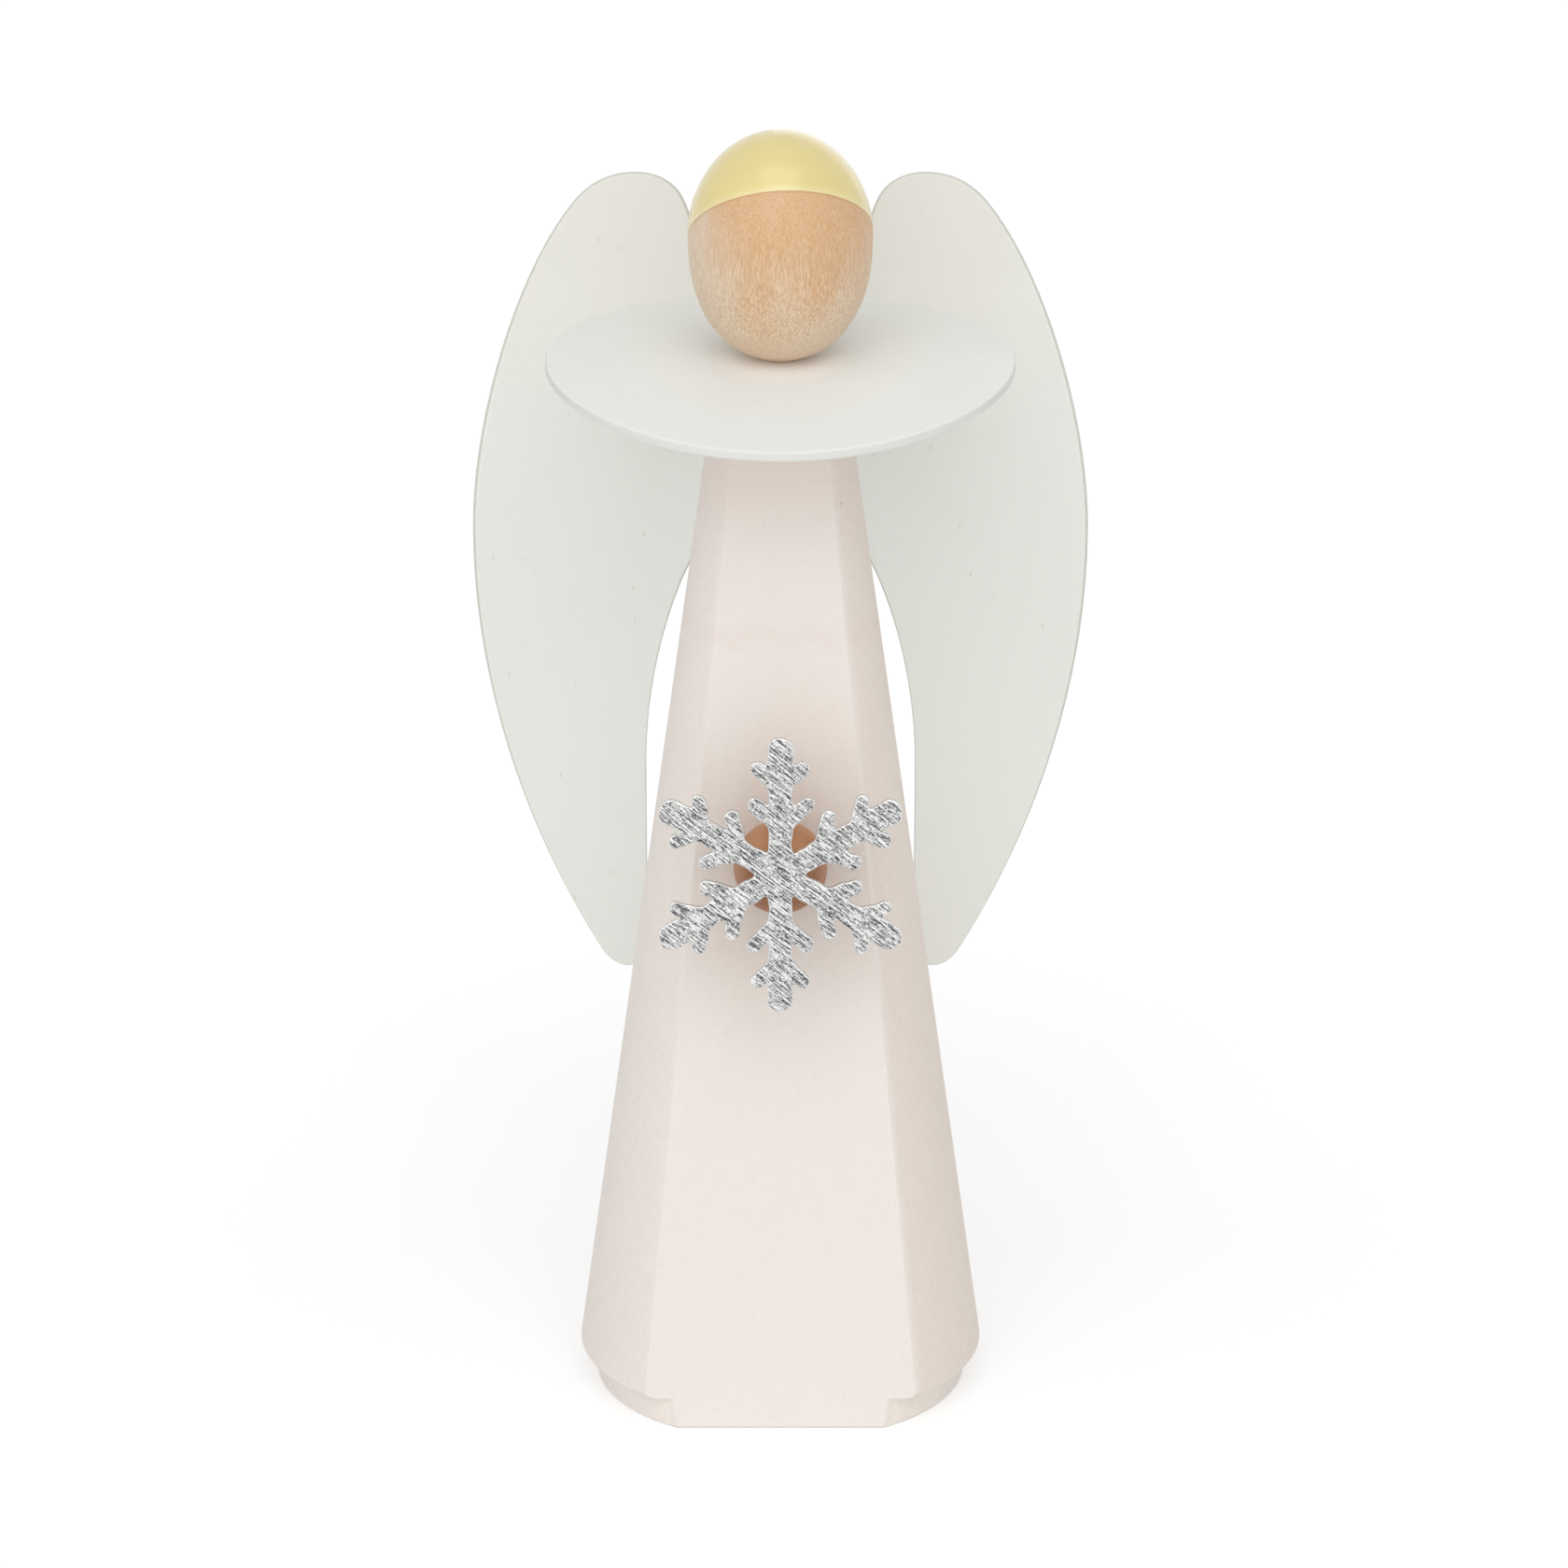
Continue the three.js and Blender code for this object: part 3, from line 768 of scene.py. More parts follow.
def flake_mesh():
    """Snowflake cut from thin board, its sawn edges lightly eased."""
    outline = flake_outline()
    axis = np.arange(-FLAKE_REACH, FLAKE_REACH, FLAKE_FILL)
    inner = inside(outline, [(x, y) for x in axis for y in axis], FLAKE_FILL_MARGIN)
    return board_mesh("snowflake", outline, FLAKE_THICKNESS / 2, FLAKE_EDGE, inner, on_ball)


# Finishes, with lengths in millimetres
def tone(red, green, blue):
    """Colour as it is seen, 0 to 255, as the shader's own values."""
    parts = [part / 255 for part in (red, green, blue)]
    return [part / 12.92 if part <= 0.04045 else ((part + 0.055) / 1.055) ** 2.4 for part in parts] + [1.0]


# Robe's stain: two grounds, painted shade on its turned sides towards +X and under the collar, the growth
# line, painted light on its foot, and smaller marks
ROBE_GROUNDS = tone(235, 229, 223), tone(236, 228, 221)
# Painted shade: the turned sides grow darker and warmer towards +X
ROBE_SIDE_SHADE = tone(232, 221, 210)
# Painted shade under the collar, between the two heights below
ROBE_COLLAR_SHADE = tone(229, 214, 205)
ROBE_COLLAR_SHADE_FROM = 108.0
ROBE_COLLAR_SHADE_TO = 122.0
ROBE_LINE = tone(229, 213, 206)
ROBE_LINE_HEIGHT = 101.5
ROBE_LINE_WANDER = 5.0
ROBE_LINE_RATE = (0.22, 0.22, 0.0)
# Painted light on the robe's turned foot
ROBE_FOOT_LIGHT = tone(245, 238, 231)
ROBE_FLECK = tone(215, 200, 189)
ROBE_FIBRE = tone(220, 208, 199)
PIN_KNOT = (7.5, -6.4, 118.0)
PIN_KNOT_TONE = tone(222, 182, 134)

# White stain: two grounds, the cut edge, smaller marks, and painted shading near the head as a place,
# a tone, a share, far and near: painted shade on the wings and painted light on the collar
WING_GROUNDS = tone(242, 244, 240), tone(241, 242, 238)
WING_CUT = tone(214, 213, 205)
# Painted shade and painted warm reflection from the head on the wings
WING_HEAD_SHADE = (0, 0, head_middle), tone(229, 227, 220), 0.9, 58.0, 27.0
COLLAR_GROUNDS = tone(239, 241, 237), tone(238, 239, 235)
COLLAR_CUT = tone(221, 222, 218)
# Painted light on the collar under the head, against its contact shade
COLLAR_HEAD_LIGHT = (0, -2.5, collar_top), tone(255, 254, 252), 0.95, 9.0, 4.0
WHITE_FLECK = tone(216, 213, 204)
WHITE_FIBRE = tone(226, 225, 216)
WHITE_PORE = tone(186, 181, 166)

# Clear wood: pale and deep ground, and the tones of its dark and light flecks
HEAD_TONES = tone(221, 200, 175), tone(212, 170, 126), tone(182, 136, 92), tone(238, 217, 189)
BALL_TONES = tone(206, 150, 104), tone(166, 108, 66), tone(130, 80, 48), tone(212, 160, 114)
DOWEL_TONES = tone(222, 198, 162), tone(208, 178, 138), tone(176, 140, 100), tone(228, 208, 176)
LIGHT_FLECKS_SHIFT = (3.1, 1.7, 0.4)

# Clear wood: size of its clouds, where and how fast it pales along X, and where and how fast it deepens
# along Z; these changes are partly the wood's own colour and partly painted light and shade
# Head: the paler -X side and paler low part are partly the wood's colour and partly painted light
HEAD_FIGURE_AND_LIGHT = 6.0, -4.5, 0.09, head_middle, 0.032
# Ball: lighter at its top and deeper below, painted light and shade
BALL_FIGURE_AND_LIGHT = 4.0, 0.0, 0.0, HAND_HEIGHT, -0.08
DOWEL_FIGURE = 4.0, 0.0, 0.0, 0.0, 0.0

# Hair's lacquer: two grounds, where it runs thin, and the fibre under it
HAIR_GROUNDS = tone(225, 208, 139), tone(228, 212, 145)
HAIR_THIN = tone(235, 222, 170)
HAIR_FIBRE = tone(218, 200, 140)

# Silver leaf: dark and light streaks, a painted highlight along the cut edge, the bare back and where the
# leaf ends behind the board's middle, and how its streaks and grit run
SILVER_TONES = tone(64, 65, 67), tone(220, 220, 219)
# Painted highlight along the snowflake's cut edge
SILVER_EDGE_HIGHLIGHT = tone(224, 224, 223)
BARE_TONES = tone(142, 100, 66), tone(176, 132, 92)
LEAF_END = -0.45, -0.3
STREAK_TURN = math.radians(37)
STREAK_RATE = (0.4, 5.0, 0.4)
GRIT_RATE = (3.2, 6.4, 3.2)

# Shine of the finishes
STAIN_SHINE = {"Specular IOR Level": 0.3}
LACQUER_SHINE = {"Specular IOR Level": 0.15, "Coat Weight": 1.0, "Coat Roughness": 0.12}


class Layout:
    """Short calls that lay out one node tree; each gives the socket that carries its result."""

    def __init__(self, tree):
        self.tree = tree

    def give(self, socket, value):
        """Links a result into a socket, or sets the socket's constant."""
        if isinstance(value, bpy.types.NodeSocket):
            self.tree.links.new(value, socket)
        else:
            socket.default_value = value

    def node(self, kind, inputs=None, **options):
        made = self.tree.nodes.new(kind)
        for option, value in options.items():
            setattr(made, option, value)
        for socket, value in (inputs or {}).items():
            self.give(made.inputs[socket], value)
        return made

    def group(self, tree, **inputs):
        made = self.node("ShaderNodeGroup", node_tree=tree)
        for label, value in inputs.items():
            self.give(made.inputs[label.replace("_", " ").title()], value)
        return made.outputs

    def math(self, operation, first, second=0.0, clamp=False):
        inputs = {0: first, 1: second}
        return self.node("ShaderNodeMath", inputs, operation=operation, use_clamp=clamp).outputs[0]

    def vector(self, operation, first, second):
        return self.node("ShaderNodeVectorMath", {0: first, 1: second}, operation=operation).outputs[0]

    def distance(self, first, second):
        inputs = {0: first, 1: second}
        return self.node("ShaderNodeVectorMath", inputs, operation="DISTANCE").outputs["Value"]

    def parts(self, vector):
        return self.node("ShaderNodeSeparateXYZ", {0: vector}).outputs

    def along(self, width, length):
        return self.node("ShaderNodeCombineXYZ", {0: width, 1: width, 2: length}).outputs[0]

    def noise(self, position, scale=1.0, detail=2.0, roughness=0.5):
        inputs = {"Vector": position, "Scale": scale, "Detail": detail, "Roughness": roughness}
        return self.node("ShaderNodeTexNoise", inputs).outputs["Fac"]

    def between(self, value, low, high, to_low=0.0, to_high=1.0):
        inputs = {"Value": value, "From Min": low, "From Max": high, "To Min": to_low, "To Max": to_high}
        return self.node("ShaderNodeMapRange", inputs, interpolation_type="SMOOTHSTEP").outputs[0]

    def mix(self, share, under, over):
        return self.node("ShaderNodeMix", {0: share, 6: under, 7: over}, data_type="RGBA").outputs[2]

    def tint(self, colour, over, share, *shares):
        """A colour with another over it, as far as the shares times each other."""
        for factor in shares:
            share = self.math("MULTIPLY", share, factor)
        return self.mix(share, colour, over)

    def cut_edge(self):
        return self.node("ShaderNodeAttribute", attribute_name=CUT_EDGE).outputs["Fac"]


def new_group(name, inputs, outputs):
    """Group with named sockets: its layout, what it is given and what it puts out."""
    tree = bpy.data.node_groups.new(name, "ShaderNodeTree")
    for label, value in inputs.items():
        kind = "NodeSocketVector" if label == "Position" else "NodeSocketFloat"
        socket = tree.interface.new_socket(label, in_out="INPUT", socket_type=kind)
        if value is not None:
            socket.default_value = value
    for label in outputs:
        tree.interface.new_socket(label, in_out="OUTPUT", socket_type="NodeSocketFloat")
    given = tree.nodes.new("NodeGroupInput").outputs
    result = tree.nodes.new("NodeGroupOutput").inputs
    return Layout(tree), given, result


def flecks_group():
    """Short flecks or pores along the grain, spread apart and present in a share of the places."""
    inputs = {"Position": None, "Length": 0.6, "Width": 0.14, "Spread": 1.0, "Share": 0.5}
    lay, given, result = new_group("grain_flecks", inputs, ("Flecks",))
    spread = {0: lay.along(given["Width"], given["Length"]), "Scale": given["Spread"]}
    apart = lay.node("ShaderNodeVectorMath", spread, operation="SCALE").outputs[0]
    spot = lay.vector("DIVIDE", given["Position"], apart)
    cells = lay.node("ShaderNodeTexVoronoi", {"Vector": spot, "Scale": 1.0}).outputs
    chance = lay.node("ShaderNodeSeparateColor", {0: cells["Color"]}).outputs[0]
    present = lay.math("LESS_THAN", chance, given["Share"])
    away = lay.math("MULTIPLY", cells["Distance"], given["Spread"])
    lay.give(result["Flecks"], lay.math("MULTIPLY", present, lay.between(away, 0.55, 0.25)))
    return lay.tree


def fibre_group():
    """Fine fibre along the grain and slow clouds of colour across it."""
    inputs = {"Position": None, "Fibre Width": 0.12, "Fibre Length": 3.0, "Cloud Size": 14.0}
    lay, given, result = new_group("wood_fibre", inputs, ("Fibre", "Cloud"))
    size = lay.along(given["Fibre Width"], given["Fibre Length"])
    fibre = lay.noise(lay.vector("DIVIDE", given["Position"], size), 1.0, 3.0, 0.6)
    wide = lay.along(given["Cloud Size"], lay.math("MULTIPLY", given["Cloud Size"], 2.5))
    cloud = lay.noise(lay.vector("DIVIDE", given["Position"], wide), 1.0, 2.0, 0.5)
    lay.give(result["Fibre"], fibre)
    lay.give(result["Cloud"], lay.between(cloud, 0.3, 0.7))
    return lay.tree


def handling_group():
    """Roughness that follows the fibre and the places where fingers have rubbed the finish."""
    inputs = {"Position": None, "Fibre": 0.5, "Roughness": 0.6, "Spread": 0.1}
    lay, given, result = new_group("handled_finish", inputs, ("Roughness",))
    rubbed = lay.between(lay.noise(given["Position"], 0.11, 3.0, 0.6), 0.35, 0.65, -0.5, 0.5)
    fine = lay.math("SUBTRACT", given["Fibre"], 0.5)
    change = lay.math("MULTIPLY", lay.math("ADD", rubbed, fine), given["Spread"])
    lay.give(result["Roughness"], lay.math("ADD", given["Roughness"], change, clamp=True))
    return lay.tree


GRAIN_FLECKS = flecks_group()
WOOD_FIBRE = fibre_group()
HANDLED_FINISH = handling_group()


def new_finish(name, grain=(0, 0, 0), shift=(0, 0, 0), shine=None):
    """Material with its shader, and the place on the piece in millimetres with the grain along Z."""
    material = bpy.data.materials.new(name)
    material.use_nodes = True
    material.node_tree.nodes.clear()
    lay = Layout(material.node_tree)
    shader = lay.node("ShaderNodeBsdfPrincipled", shine)
    lay.node("ShaderNodeOutputMaterial", {"Surface": shader.outputs[0]})
    spot = lay.node("ShaderNodeTexCoord").outputs["Object"]
    turned = {"Vector": spot, "Location": shift, "Rotation": grain, "Scale": (1 / MM, 1 / MM, 1 / MM)}
    position = lay.node("ShaderNodeMapping", turned, vector_type="POINT").outputs[0]
    return material, lay, shader.inputs, position


def relief(lay, shader, height, depth):
    """Feeds a height over the surface into the shader, with its depth in millimetres."""
    bump = lay.node("ShaderNodeBump", {"Strength": 1.0, "Distance": depth * MM, "Height": height})
    lay.give(shader["Normal"], bump.outputs[0])


def dress(lay, shader, position, colour, fibre, pits, rough, depth):
    """Feeds a wooden finish into its shader: colour, roughness and its spread, fibre and pits in relief."""
    level, spread = rough
    lay.give(shader["Base Color"], colour)
    handled = lay.group(HANDLED_FINISH, position=position, fibre=fibre, roughness=level, spread=spread)
    lay.give(shader["Roughness"], handled["Roughness"])
    relief(lay, shader, lay.math("SUBTRACT", fibre, pits), depth)


def robe_stain():
    """Matt pink stain on fine hardwood with a wavy growth line round it; painted shade darkens its turned
    sides towards +X and its top under the collar, and painted light lightens its turned foot.
    """
    material, lay, shader, position = new_finish("robe_stain", shine=STAIN_SHINE)
    wood = lay.group(WOOD_FIBRE, position=position, fibre_width=0.16, fibre_length=4.0, cloud_size=11.0)
    flecks = lay.group(GRAIN_FLECKS, position=position, length=1.1, width=0.22, share=0.42)["Flecks"]
    parts = lay.parts(position)
    leaning = lay.math("MULTIPLY", parts["Z"], -math.tan(FACET_LEAN))
    behind_flat = lay.math("ADD", lay.math("ADD", parts["Y"], FACET_DISTANCE), leaning)
    turned = lay.between(behind_flat, 0.1, 0.9)
    wander = lay.noise(lay.vector("MULTIPLY", position, ROBE_LINE_RATE), 1.0, 1.0, 0.5)
    line = lay.math("ADD", parts["Z"], lay.math("MULTIPLY", wander, ROBE_LINE_WANDER))
    near_line = lay.math("ABSOLUTE", lay.math("SUBTRACT", line, ROBE_LINE_HEIGHT + ROBE_LINE_WANDER / 2))
    on_foot = lay.between(parts["Z"], FOOT_HEIGHT + 1.2, FOOT_HEIGHT - 0.2, 0.0, 0.8)
    near_knot = lay.between(lay.distance(position, PIN_KNOT), 0.4, 0.15, 0.0, 0.6)
    grain = lay.between(turned, 0.0, 1.0, 0.4, 1.3)
    colour = lay.mix(wood["Cloud"], *ROBE_GROUNDS)
    # Painted shade: darker and warmer on the turned sides towards +X
    colour = lay.tint(colour, ROBE_SIDE_SHADE, turned, lay.between(parts["X"], -10.0, 14.0, 0.0, 0.85))
    # Painted shade just under the collar
    colour = lay.tint(colour, ROBE_COLLAR_SHADE, lay.between(parts["Z"], ROBE_COLLAR_SHADE_FROM, ROBE_COLLAR_SHADE_TO, 0.0, 0.5))
    colour = lay.tint(colour, ROBE_LINE, lay.between(near_line, 2.2, 0.2, 0.0, 0.24))
    # Painted light: the turned foot is lighter
    colour = lay.tint(colour, ROBE_FOOT_LIGHT, turned, on_foot)
    colour = lay.tint(colour, ROBE_FLECK, flecks, 0.2, grain)
    colour = lay.tint(colour, ROBE_FIBRE, lay.between(wood["Fibre"], 0.35, 0.7, 0.0, 0.1), grain)
    colour = lay.tint(colour, PIN_KNOT_TONE, near_knot)
    dress(lay, shader, position, colour, wood["Fibre"], flecks, (0.62, 0.14), 0.01)
    return material


def white_stain(name, grain, shift, grounds, painted_shading, cut_tone):
    """Matt white stain on thin board, with sparse open pores along the grain.

    grounds are the two tones of its clouds. The painted shading is given as a place, the tone painted round
    it, its
    share, and from how far to how near: painted shade on the wings and painted light on the collar under the
    head.
    """
    place, painted_shading_tone, share, far, near = painted_shading
    material, lay, shader, position = new_finish(name, grain, shift, STAIN_SHINE)
    wood = lay.group(WOOD_FIBRE, position=position, fibre_width=0.2, fibre_length=6.0, cloud_size=16.0)
    flecks = lay.group(GRAIN_FLECKS, position=position, length=1.4, width=0.2, share=0.3)["Flecks"]
    apart = {"length": 1.0, "width": 0.26, "spread": 6.0, "share": 0.6}
    pores = lay.group(GRAIN_FLECKS, position=position, **apart)["Flecks"]
    place = Euler(grain).to_matrix() @ Vector(place) + Vector(shift)
    painted_shading_share = lay.between(lay.distance(position, place), far, near, 0.0, share)
    colour = lay.mix(wood["Cloud"], *grounds)
    # Painted shading round a place near the head: painted shade on the wings, painted light on the collar
    colour = lay.tint(colour, painted_shading_tone, painted_shading_share)
    colour = lay.tint(colour, WHITE_FLECK, flecks, 0.05)
    colour = lay.tint(colour, WHITE_FIBRE, lay.between(wood["Fibre"], 0.4, 0.75, 0.0, 0.05))
    colour = lay.tint(colour, WHITE_PORE, pores, 0.28)
    colour = lay.tint(colour, cut_tone, lay.between(lay.cut_edge(), 0.35, 0.95))
    dress(lay, shader, position, colour, wood["Fibre"], pores, (0.6, 0.14), 0.01)
    return material


def above_hair(lay, parts):
    """Height above the hair line's plane."""
    leaning = lay.math("MULTIPLY", parts["Y"], HAIR_LINE_RISE)
    tilted = lay.math("MULTIPLY", parts["X"], HAIR_LINE_TILT)
    line = lay.math("ADD", lay.math("ADD", leaning, tilted), parts["Z"])
    return lay.math("SUBTRACT", line, head_middle + HAIR_LINE)


def clear_wood(name, tones, shift, figure_and_light, coat, painted=False):
    """Clear-lacquered hardwood: ray flecks and fibre under a satin coat, deeper in colour towards one side,
    partly as its own colour and partly as painted light and shade.

    The fourth argument gives the size of its clouds, the X that it pales from towards -X and how fast per
    millimetre, and the height that it deepens from along Z and how fast. On the ball the change along Z is
    painted light on top and painted shade below; on the head the paler -X side and paler low part are partly
    the wood's colour and partly painted light. Painted wood gets a painted shadow line just under the hair
    line.
    """
    pale, deep, dark, light = tones
    cloud_size, pale_from, along_x, height, along_z = figure_and_light
    shine = {"Specular IOR Level": 0.4, "Coat Weight": coat, "Coat Roughness": 0.35}
    material, lay, shader, position = new_finish(name, (0, 0, 0), shift, shine)
    wood = lay.group(WOOD_FIBRE, position=position, fibre_width=0.15, fibre_length=1.5, cloud_size=cloud_size)
    parts = lay.parts(lay.vector("SUBTRACT", position, shift))
    # Paling towards -X and deepening along Z: partly the wood's colour, partly painted light and shade
    rise = lay.math("MULTIPLY", lay.math("SUBTRACT", parts["Z"], height), along_z)
    side = lay.math("MINIMUM", lay.math("SUBTRACT", parts["X"], pale_from), 0.0)
    deepens = lay.math("ADD", lay.math("MULTIPLY", side, along_x), rise)
    depth = lay.math("ADD", lay.math("MULTIPLY", wood["Cloud"], 0.3), deepens)
    flecks = lay.group(GRAIN_FLECKS, position=position, length=1.2, width=0.17, share=0.55)["Flecks"]
    moved = lay.vector("ADD", position, LIGHT_FLECKS_SHIFT)
    light_flecks = lay.group(GRAIN_FLECKS, position=moved, length=1.2, width=0.17, share=0.6)["Flecks"]
    grain = lay.between(parts["Z"], height + 5.0, height - 9.0, 0.5, 1.15)
    colour = lay.mix(lay.between(depth, -0.35, 0.22), pale, deep)
    colour = lay.tint(colour, dark, lay.between(wood["Fibre"], 0.52, 0.38, 0.0, 0.36), grain)
    colour = lay.tint(colour, light, lay.between(wood["Fibre"], 0.51, 0.62, 0.0, 0.44), grain)
    colour = lay.tint(colour, dark, flecks, 0.28, grain)
    colour = lay.tint(colour, light, light_flecks, 0.4, grain)
    # Painted shadow: a thin darker band on the wood just under the lacquer's edge
    if painted:
        colour = lay.tint(colour, dark, lay.between(above_hair(lay, parts), -0.45, -0.1, 0.0, 0.45))
    dress(lay, shader, position, colour, wood["Fibre"], flecks, (0.48, 0.12), 0.008)
    return material


def hair_lacquer():
    """Gloss pale yellow lacquer, thinner and lighter where it ends at the hair line."""
    material, lay, shader, position = new_finish("hair_lacquer", shine=LACQUER_SHINE)
    wood = lay.group(WOOD_FIBRE, position=position, fibre_width=0.3, fibre_length=1.2, cloud_size=6.0)
    lip = lay.between(above_hair(lay, lay.parts(position)), 1.5, 0.15)
    colour = lay.mix(wood["Cloud"], *HAIR_GROUNDS)
    colour = lay.tint(colour, HAIR_THIN, lip, 0.5)
    colour = lay.tint(colour, HAIR_FIBRE, lay.between(wood["Fibre"], 0.4, 0.7, 0.0, 0.1))
    dress(lay, shader, position, colour, wood["Fibre"], 0.0, (0.34, 0.08), 0.003)
    return material


def silver_leaf():
    """Silver leaf rubbed on the front and edges of thin board, streaked and gritty, with a painted highlight
    along its cut edge; its back is bare wood.
    """
    flat = (-(QUARTER - FLAKE_LEAN), 0, 0)
    material, lay, shader, position = new_finish("silver_leaf", flat)
    middle = (Euler(flat).to_matrix() @ (flake_frame @ Vector((0, 0, flake_middle)))).z
    leaf = lay.between(lay.math("SUBTRACT", lay.parts(position)["Z"], middle), *LEAF_END)
    wood = lay.group(WOOD_FIBRE, position=position, fibre_width=0.2, fibre_length=2.0, cloud_size=6.0)
    bare = lay.mix(wood["Fibre"], *BARE_TONES)
    streaked = {"Vector": position, "Angle": STREAK_TURN}
    turned = lay.node("ShaderNodeVectorRotate", streaked, rotation_type="Z_AXIS").outputs[0]
    streaks = lay.noise(lay.vector("MULTIPLY", turned, STREAK_RATE), 1.0, 3.0, 0.65)
    grit = lay.noise(lay.vector("MULTIPLY", turned, GRIT_RATE), 1.0, 2.0, 0.7)
    shade = lay.math("ADD", lay.math("MULTIPLY", streaks, 0.6), lay.math("MULTIPLY", grit, 0.4))
    colour = lay.mix(lay.between(shade, 0.41, 0.58), *SILVER_TONES)
    # Painted highlight along the cut edge
    colour = lay.tint(colour, SILVER_EDGE_HIGHLIGHT, lay.between(lay.cut_edge(), 0.1, 0.6, 0.0, 0.8))
    lay.give(shader["Base Color"], lay.mix(leaf, bare, colour))
    lay.give(shader["Metallic"], leaf)
    lay.give(shader["Roughness"], lay.between(shade, 0.3, 0.7, 0.5, 0.3))
    relief(lay, shader, shade, 0.03)
    return material


FINISHES = {
    "robe_stain": robe_stain(),
    "wing_stain": white_stain("white_stain_wings", (0, 0, 0), (0, 0, 0), WING_GROUNDS, WING_HEAD_SHADE, WING_CUT),
    "collar_stain": white_stain("white_stain_collar", (0, QUARTER, 0), (3.0, 7.0, 5.0), COLLAR_GROUNDS,
                                COLLAR_HEAD_LIGHT, COLLAR_CUT),
    "head_wood": clear_wood("head_wood", HEAD_TONES, (4.0, 9.0, 2.0), HEAD_FIGURE_AND_LIGHT, 0.15, True),
    "ball_wood": clear_wood("ball_wood", BALL_TONES, (31.0, 5.0, 8.0), BALL_FIGURE_AND_LIGHT, 0.2),
    "dowel_wood": clear_wood("dowel_wood", DOWEL_TONES, (13.0, 2.0, 6.0), DOWEL_FIGURE, 0.0),
    "hair_lacquer": hair_lacquer(),
    "silver_leaf": silver_leaf(),
}

# Pieces, and the angle from which an edge counts as sharp
SHARP = math.radians(38)
add_piece("turned_robe", robe_mesh(), FINISHES["robe_stain"], ["robe"], SHARP)
add_piece("collar_disc", collar_mesh(), FINISHES["collar_stain"], ["collar"], SHARP)
add_piece("head_egg", head_mesh(), FINISHES["head_wood"], ["head"], SHARP)
add_piece("hair_coat", hair_mesh(), FINISHES["hair_lacquer"], (), SHARP)
add_piece("bent_wing_left", wing_mesh("wing_left", 1), FINISHES["wing_stain"], ["wing_left"])
add_piece("bent_wing_right", wing_mesh("wing_right", -1), FINISHES["wing_stain"],
          ["wing_right"])
add_piece("turned_ball", ball_mesh(), FINISHES["ball_wood"], ["hand_ball"], SHARP)
add_piece("cut_snowflake", flake_mesh(), FINISHES["silver_leaf"], ["snowflake"])
for node_name in ("neck_dowel", "hand_peg"):
    dowel = frame["nodes"][node_name].data
    dowel.materials.clear()
    dowel.materials.append(FINISHES["dowel_wood"])

# Floor, in metres: white to the camera and in gloss where nothing shades it, a little less lit near the
# figurine so that its shadow shows, and pale to the light that reaches the figurine
FLOOR_HALF = 4.0
FLOOR_NEAR = 0.05
FLOOR_FAR = 0.2
FLOOR_GLOW_NEAR = 0.48
FLOOR_GLOW_FAR = 0.55
FLOOR_SHADE = (0.6, 0.6, 0.6, 1)
FLOOR_PALE = tone(251, 251, 251)
WHITE = (1, 1, 1, 1)


def shown_white(lay):
    """1 for the rays that show the floor or the room itself: to the camera, in gloss and through glass."""
    path = lay.node("ShaderNodeLightPath").outputs
    seen = lay.math("MAXIMUM", path["Is Camera Ray"], path["Is Glossy Ray"])
    return lay.math("MAXIMUM", seen, path["Is Transmission Ray"])


def floor_finish():
    """Floor's material: a glow and its own shade where it is seen, and a pale matt surface to other light."""
    material = bpy.data.materials.new("floor")
    material.use_nodes = True
    material.node_tree.nodes.clear()
    lay = Layout(material.node_tree)
    seen = shown_white(lay)
    spot = lay.node("ShaderNodeTexCoord").outputs["Object"]
    away = lay.distance(spot, (0, 0, 0))
    level = lay.between(away, FLOOR_NEAR, FLOOR_FAR, FLOOR_GLOW_NEAR, FLOOR_GLOW_FAR)
    glow = lay.node("ShaderNodeEmission", {"Color": WHITE, "Strength": level}).outputs[0]
    shade = lay.node("ShaderNodeBsdfDiffuse", {"Color": FLOOR_SHADE}).outputs[0]
    pale = lay.node("ShaderNodeBsdfDiffuse", {"Color": FLOOR_PALE}).outputs[0]
    shown = lay.node("ShaderNodeAddShader", {0: glow, 1: shade}).outputs[0]
    both = lay.node("ShaderNodeMixShader", {0: seen, 1: pale, 2: shown}).outputs[0]
    lay.node("ShaderNodeOutputMaterial", {"Surface": both})
    return material


corners = [(-1, -1), (1, -1), (1, 1), (-1, 1)]
half = FLOOR_HALF / MM
floor_mesh = mesh_of("floor", [(x * half, y * half, 0) for x, y in corners], [[0, 1, 2, 3]])
floor = bpy.data.objects.new("floor", floor_mesh)
bpy.context.scene.collection.objects.link(floor)
floor_mesh.materials.append(floor_finish())

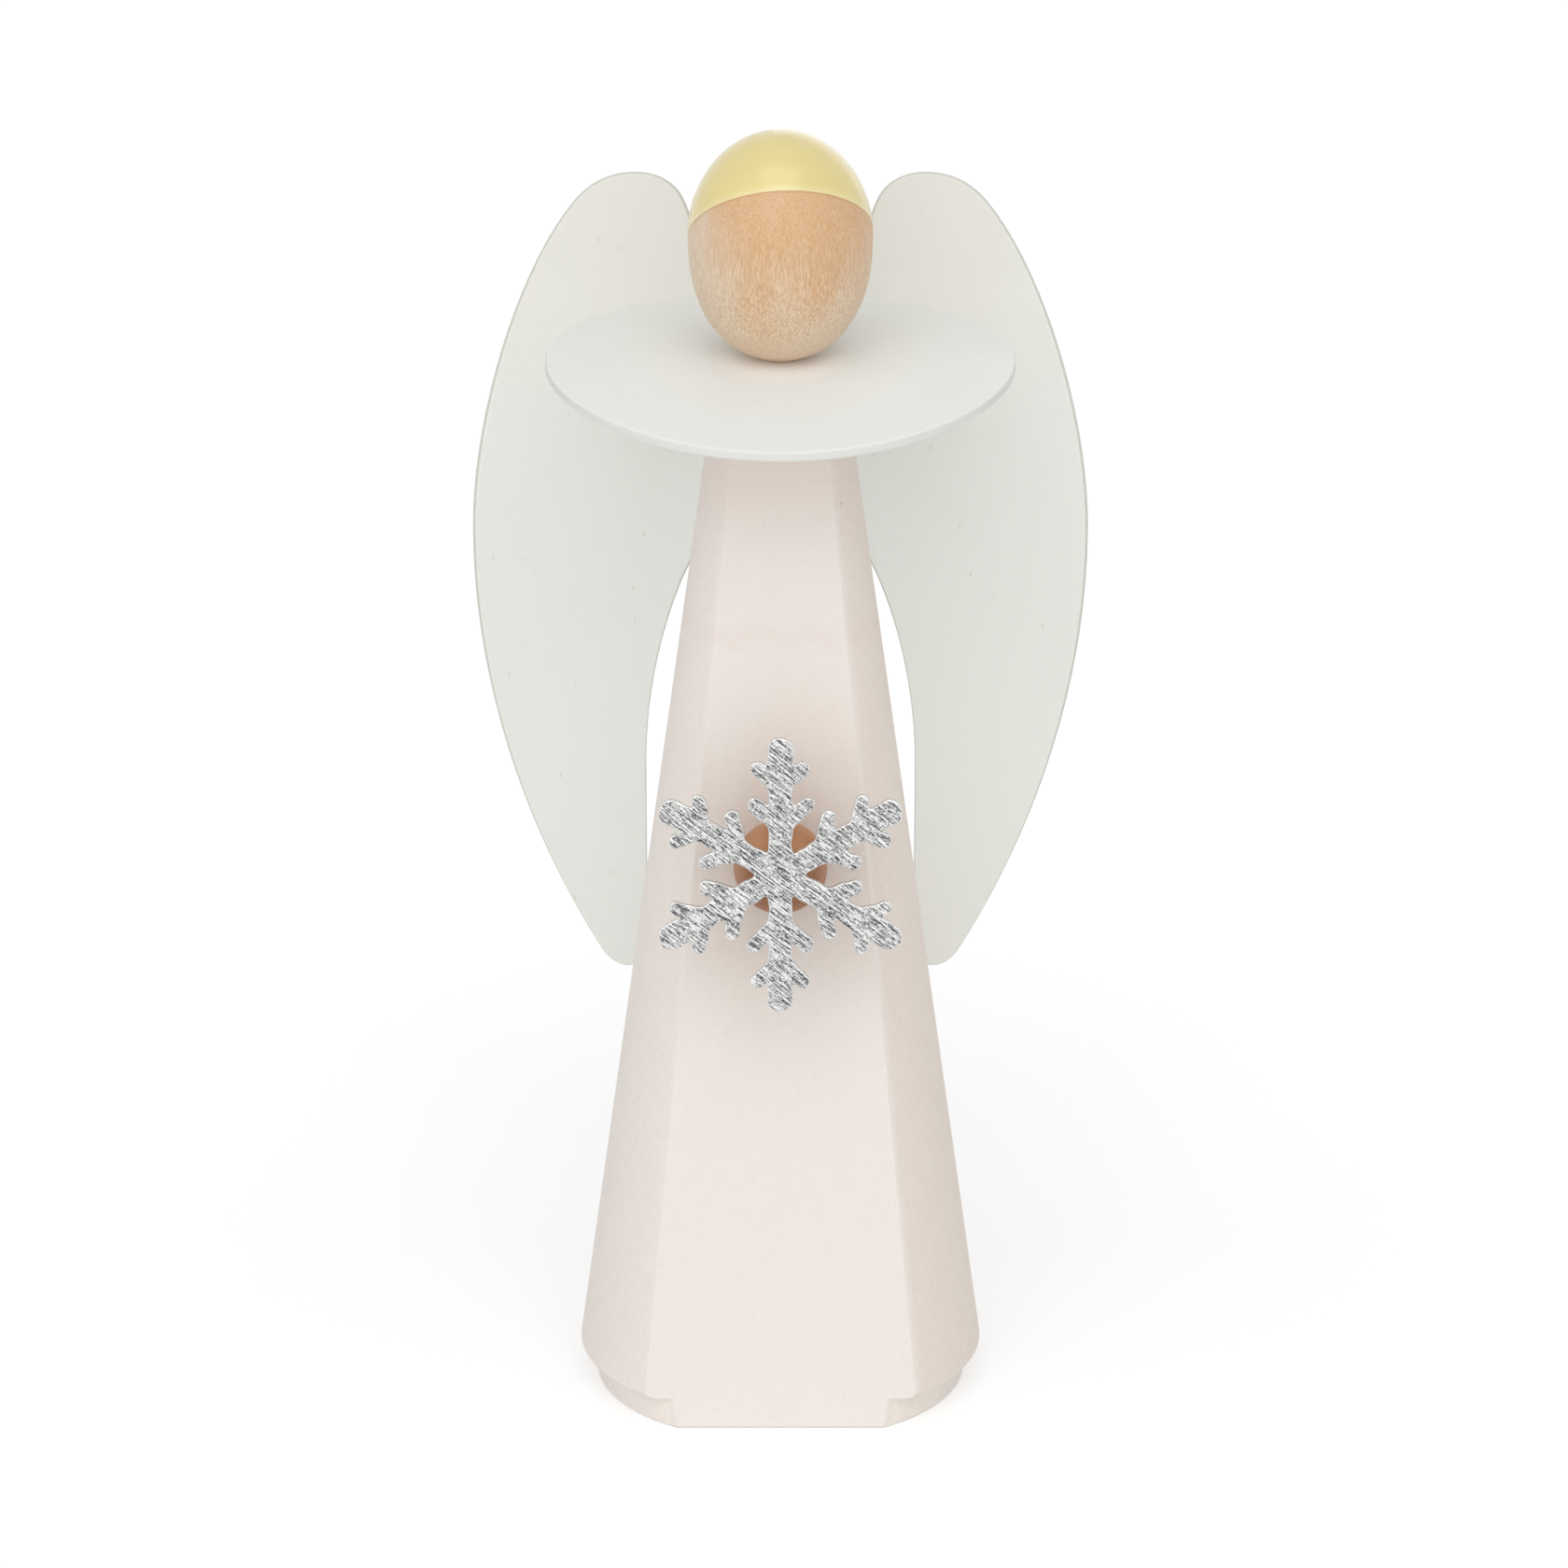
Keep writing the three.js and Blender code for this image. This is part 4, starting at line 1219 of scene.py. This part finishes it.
# Light: an even white room, with broad soft lights in front, overhead and behind. Each lamp has its name, its
# place and size in metres, and its power in watts
ROOM_LIGHT = 0.56
scene = bpy.context.scene
world = bpy.data.worlds.new("room")
scene.world = world
world.use_nodes = True
world.node_tree.nodes.clear()
room = Layout(world.node_tree)
strength = room.math("ADD", room.math("MULTIPLY", shown_white(room), 1 - ROOM_LIGHT), ROOM_LIGHT)
backdrop = room.node("ShaderNodeBackground", {"Color": WHITE, "Strength": strength}).outputs[0]
room.node("ShaderNodeOutputWorld", {"Surface": backdrop})

LAMPS = (
    ("soft_front", (0.0, -2.0, 0.9), 2.0, 4.6),
    ("soft_front_high", (0.0, -1.5, 1.5), 1.4, 5.8),
    ("soft_front_left", (-1.4, -1.4, 1.0), 1.6, 4.9),
    ("soft_front_right", (1.4, -1.4, 1.0), 1.6, 2.6),
    ("soft_overhead", (0.0, -0.9, 1.9), 1.8, 8.6),
    ("soft_back", (0.5, 1.5, 0.3), 1.2, 1.4),
)
aim = Vector((0, 0, ROBE_HEIGHT * MM / 2))
for name, spot, size, power in LAMPS:
    lamp = bpy.data.lights.new(name, "AREA")
    lamp.size = size
    lamp.energy = power
    holder = bpy.data.objects.new(name, lamp)
    holder.location = spot
    holder.rotation_euler = (aim - Vector(spot)).to_track_quat("-Z", "Y").to_euler()
    scene.collection.objects.link(holder)

# Camera, in millimetres
CAMERA_DISTANCE = 1650.0
CAMERA_FAR = 20000.0
CAMERA_SENSOR = 36.0
CAMERA_RISE = math.radians(21.49)
CAMERA_AIM = (0.44, 0.0, 78.72)
CAMERA_LENS = 306.6
camera = bpy.data.cameras.new("camera")
camera.lens = CAMERA_LENS
camera.sensor_width = CAMERA_SENSOR
camera.clip_end = CAMERA_FAR * MM
viewer = bpy.data.objects.new("camera", camera)
aim = Vector(CAMERA_AIM) * MM
away = Vector((0, -math.cos(CAMERA_RISE), math.sin(CAMERA_RISE)))
viewer.location = aim + away * CAMERA_DISTANCE * MM
viewer.rotation_euler = (-away).to_track_quat("-Z", "Y").to_euler()
scene.collection.objects.link(viewer)
scene.camera = viewer
scene.view_settings.view_transform = "Standard"
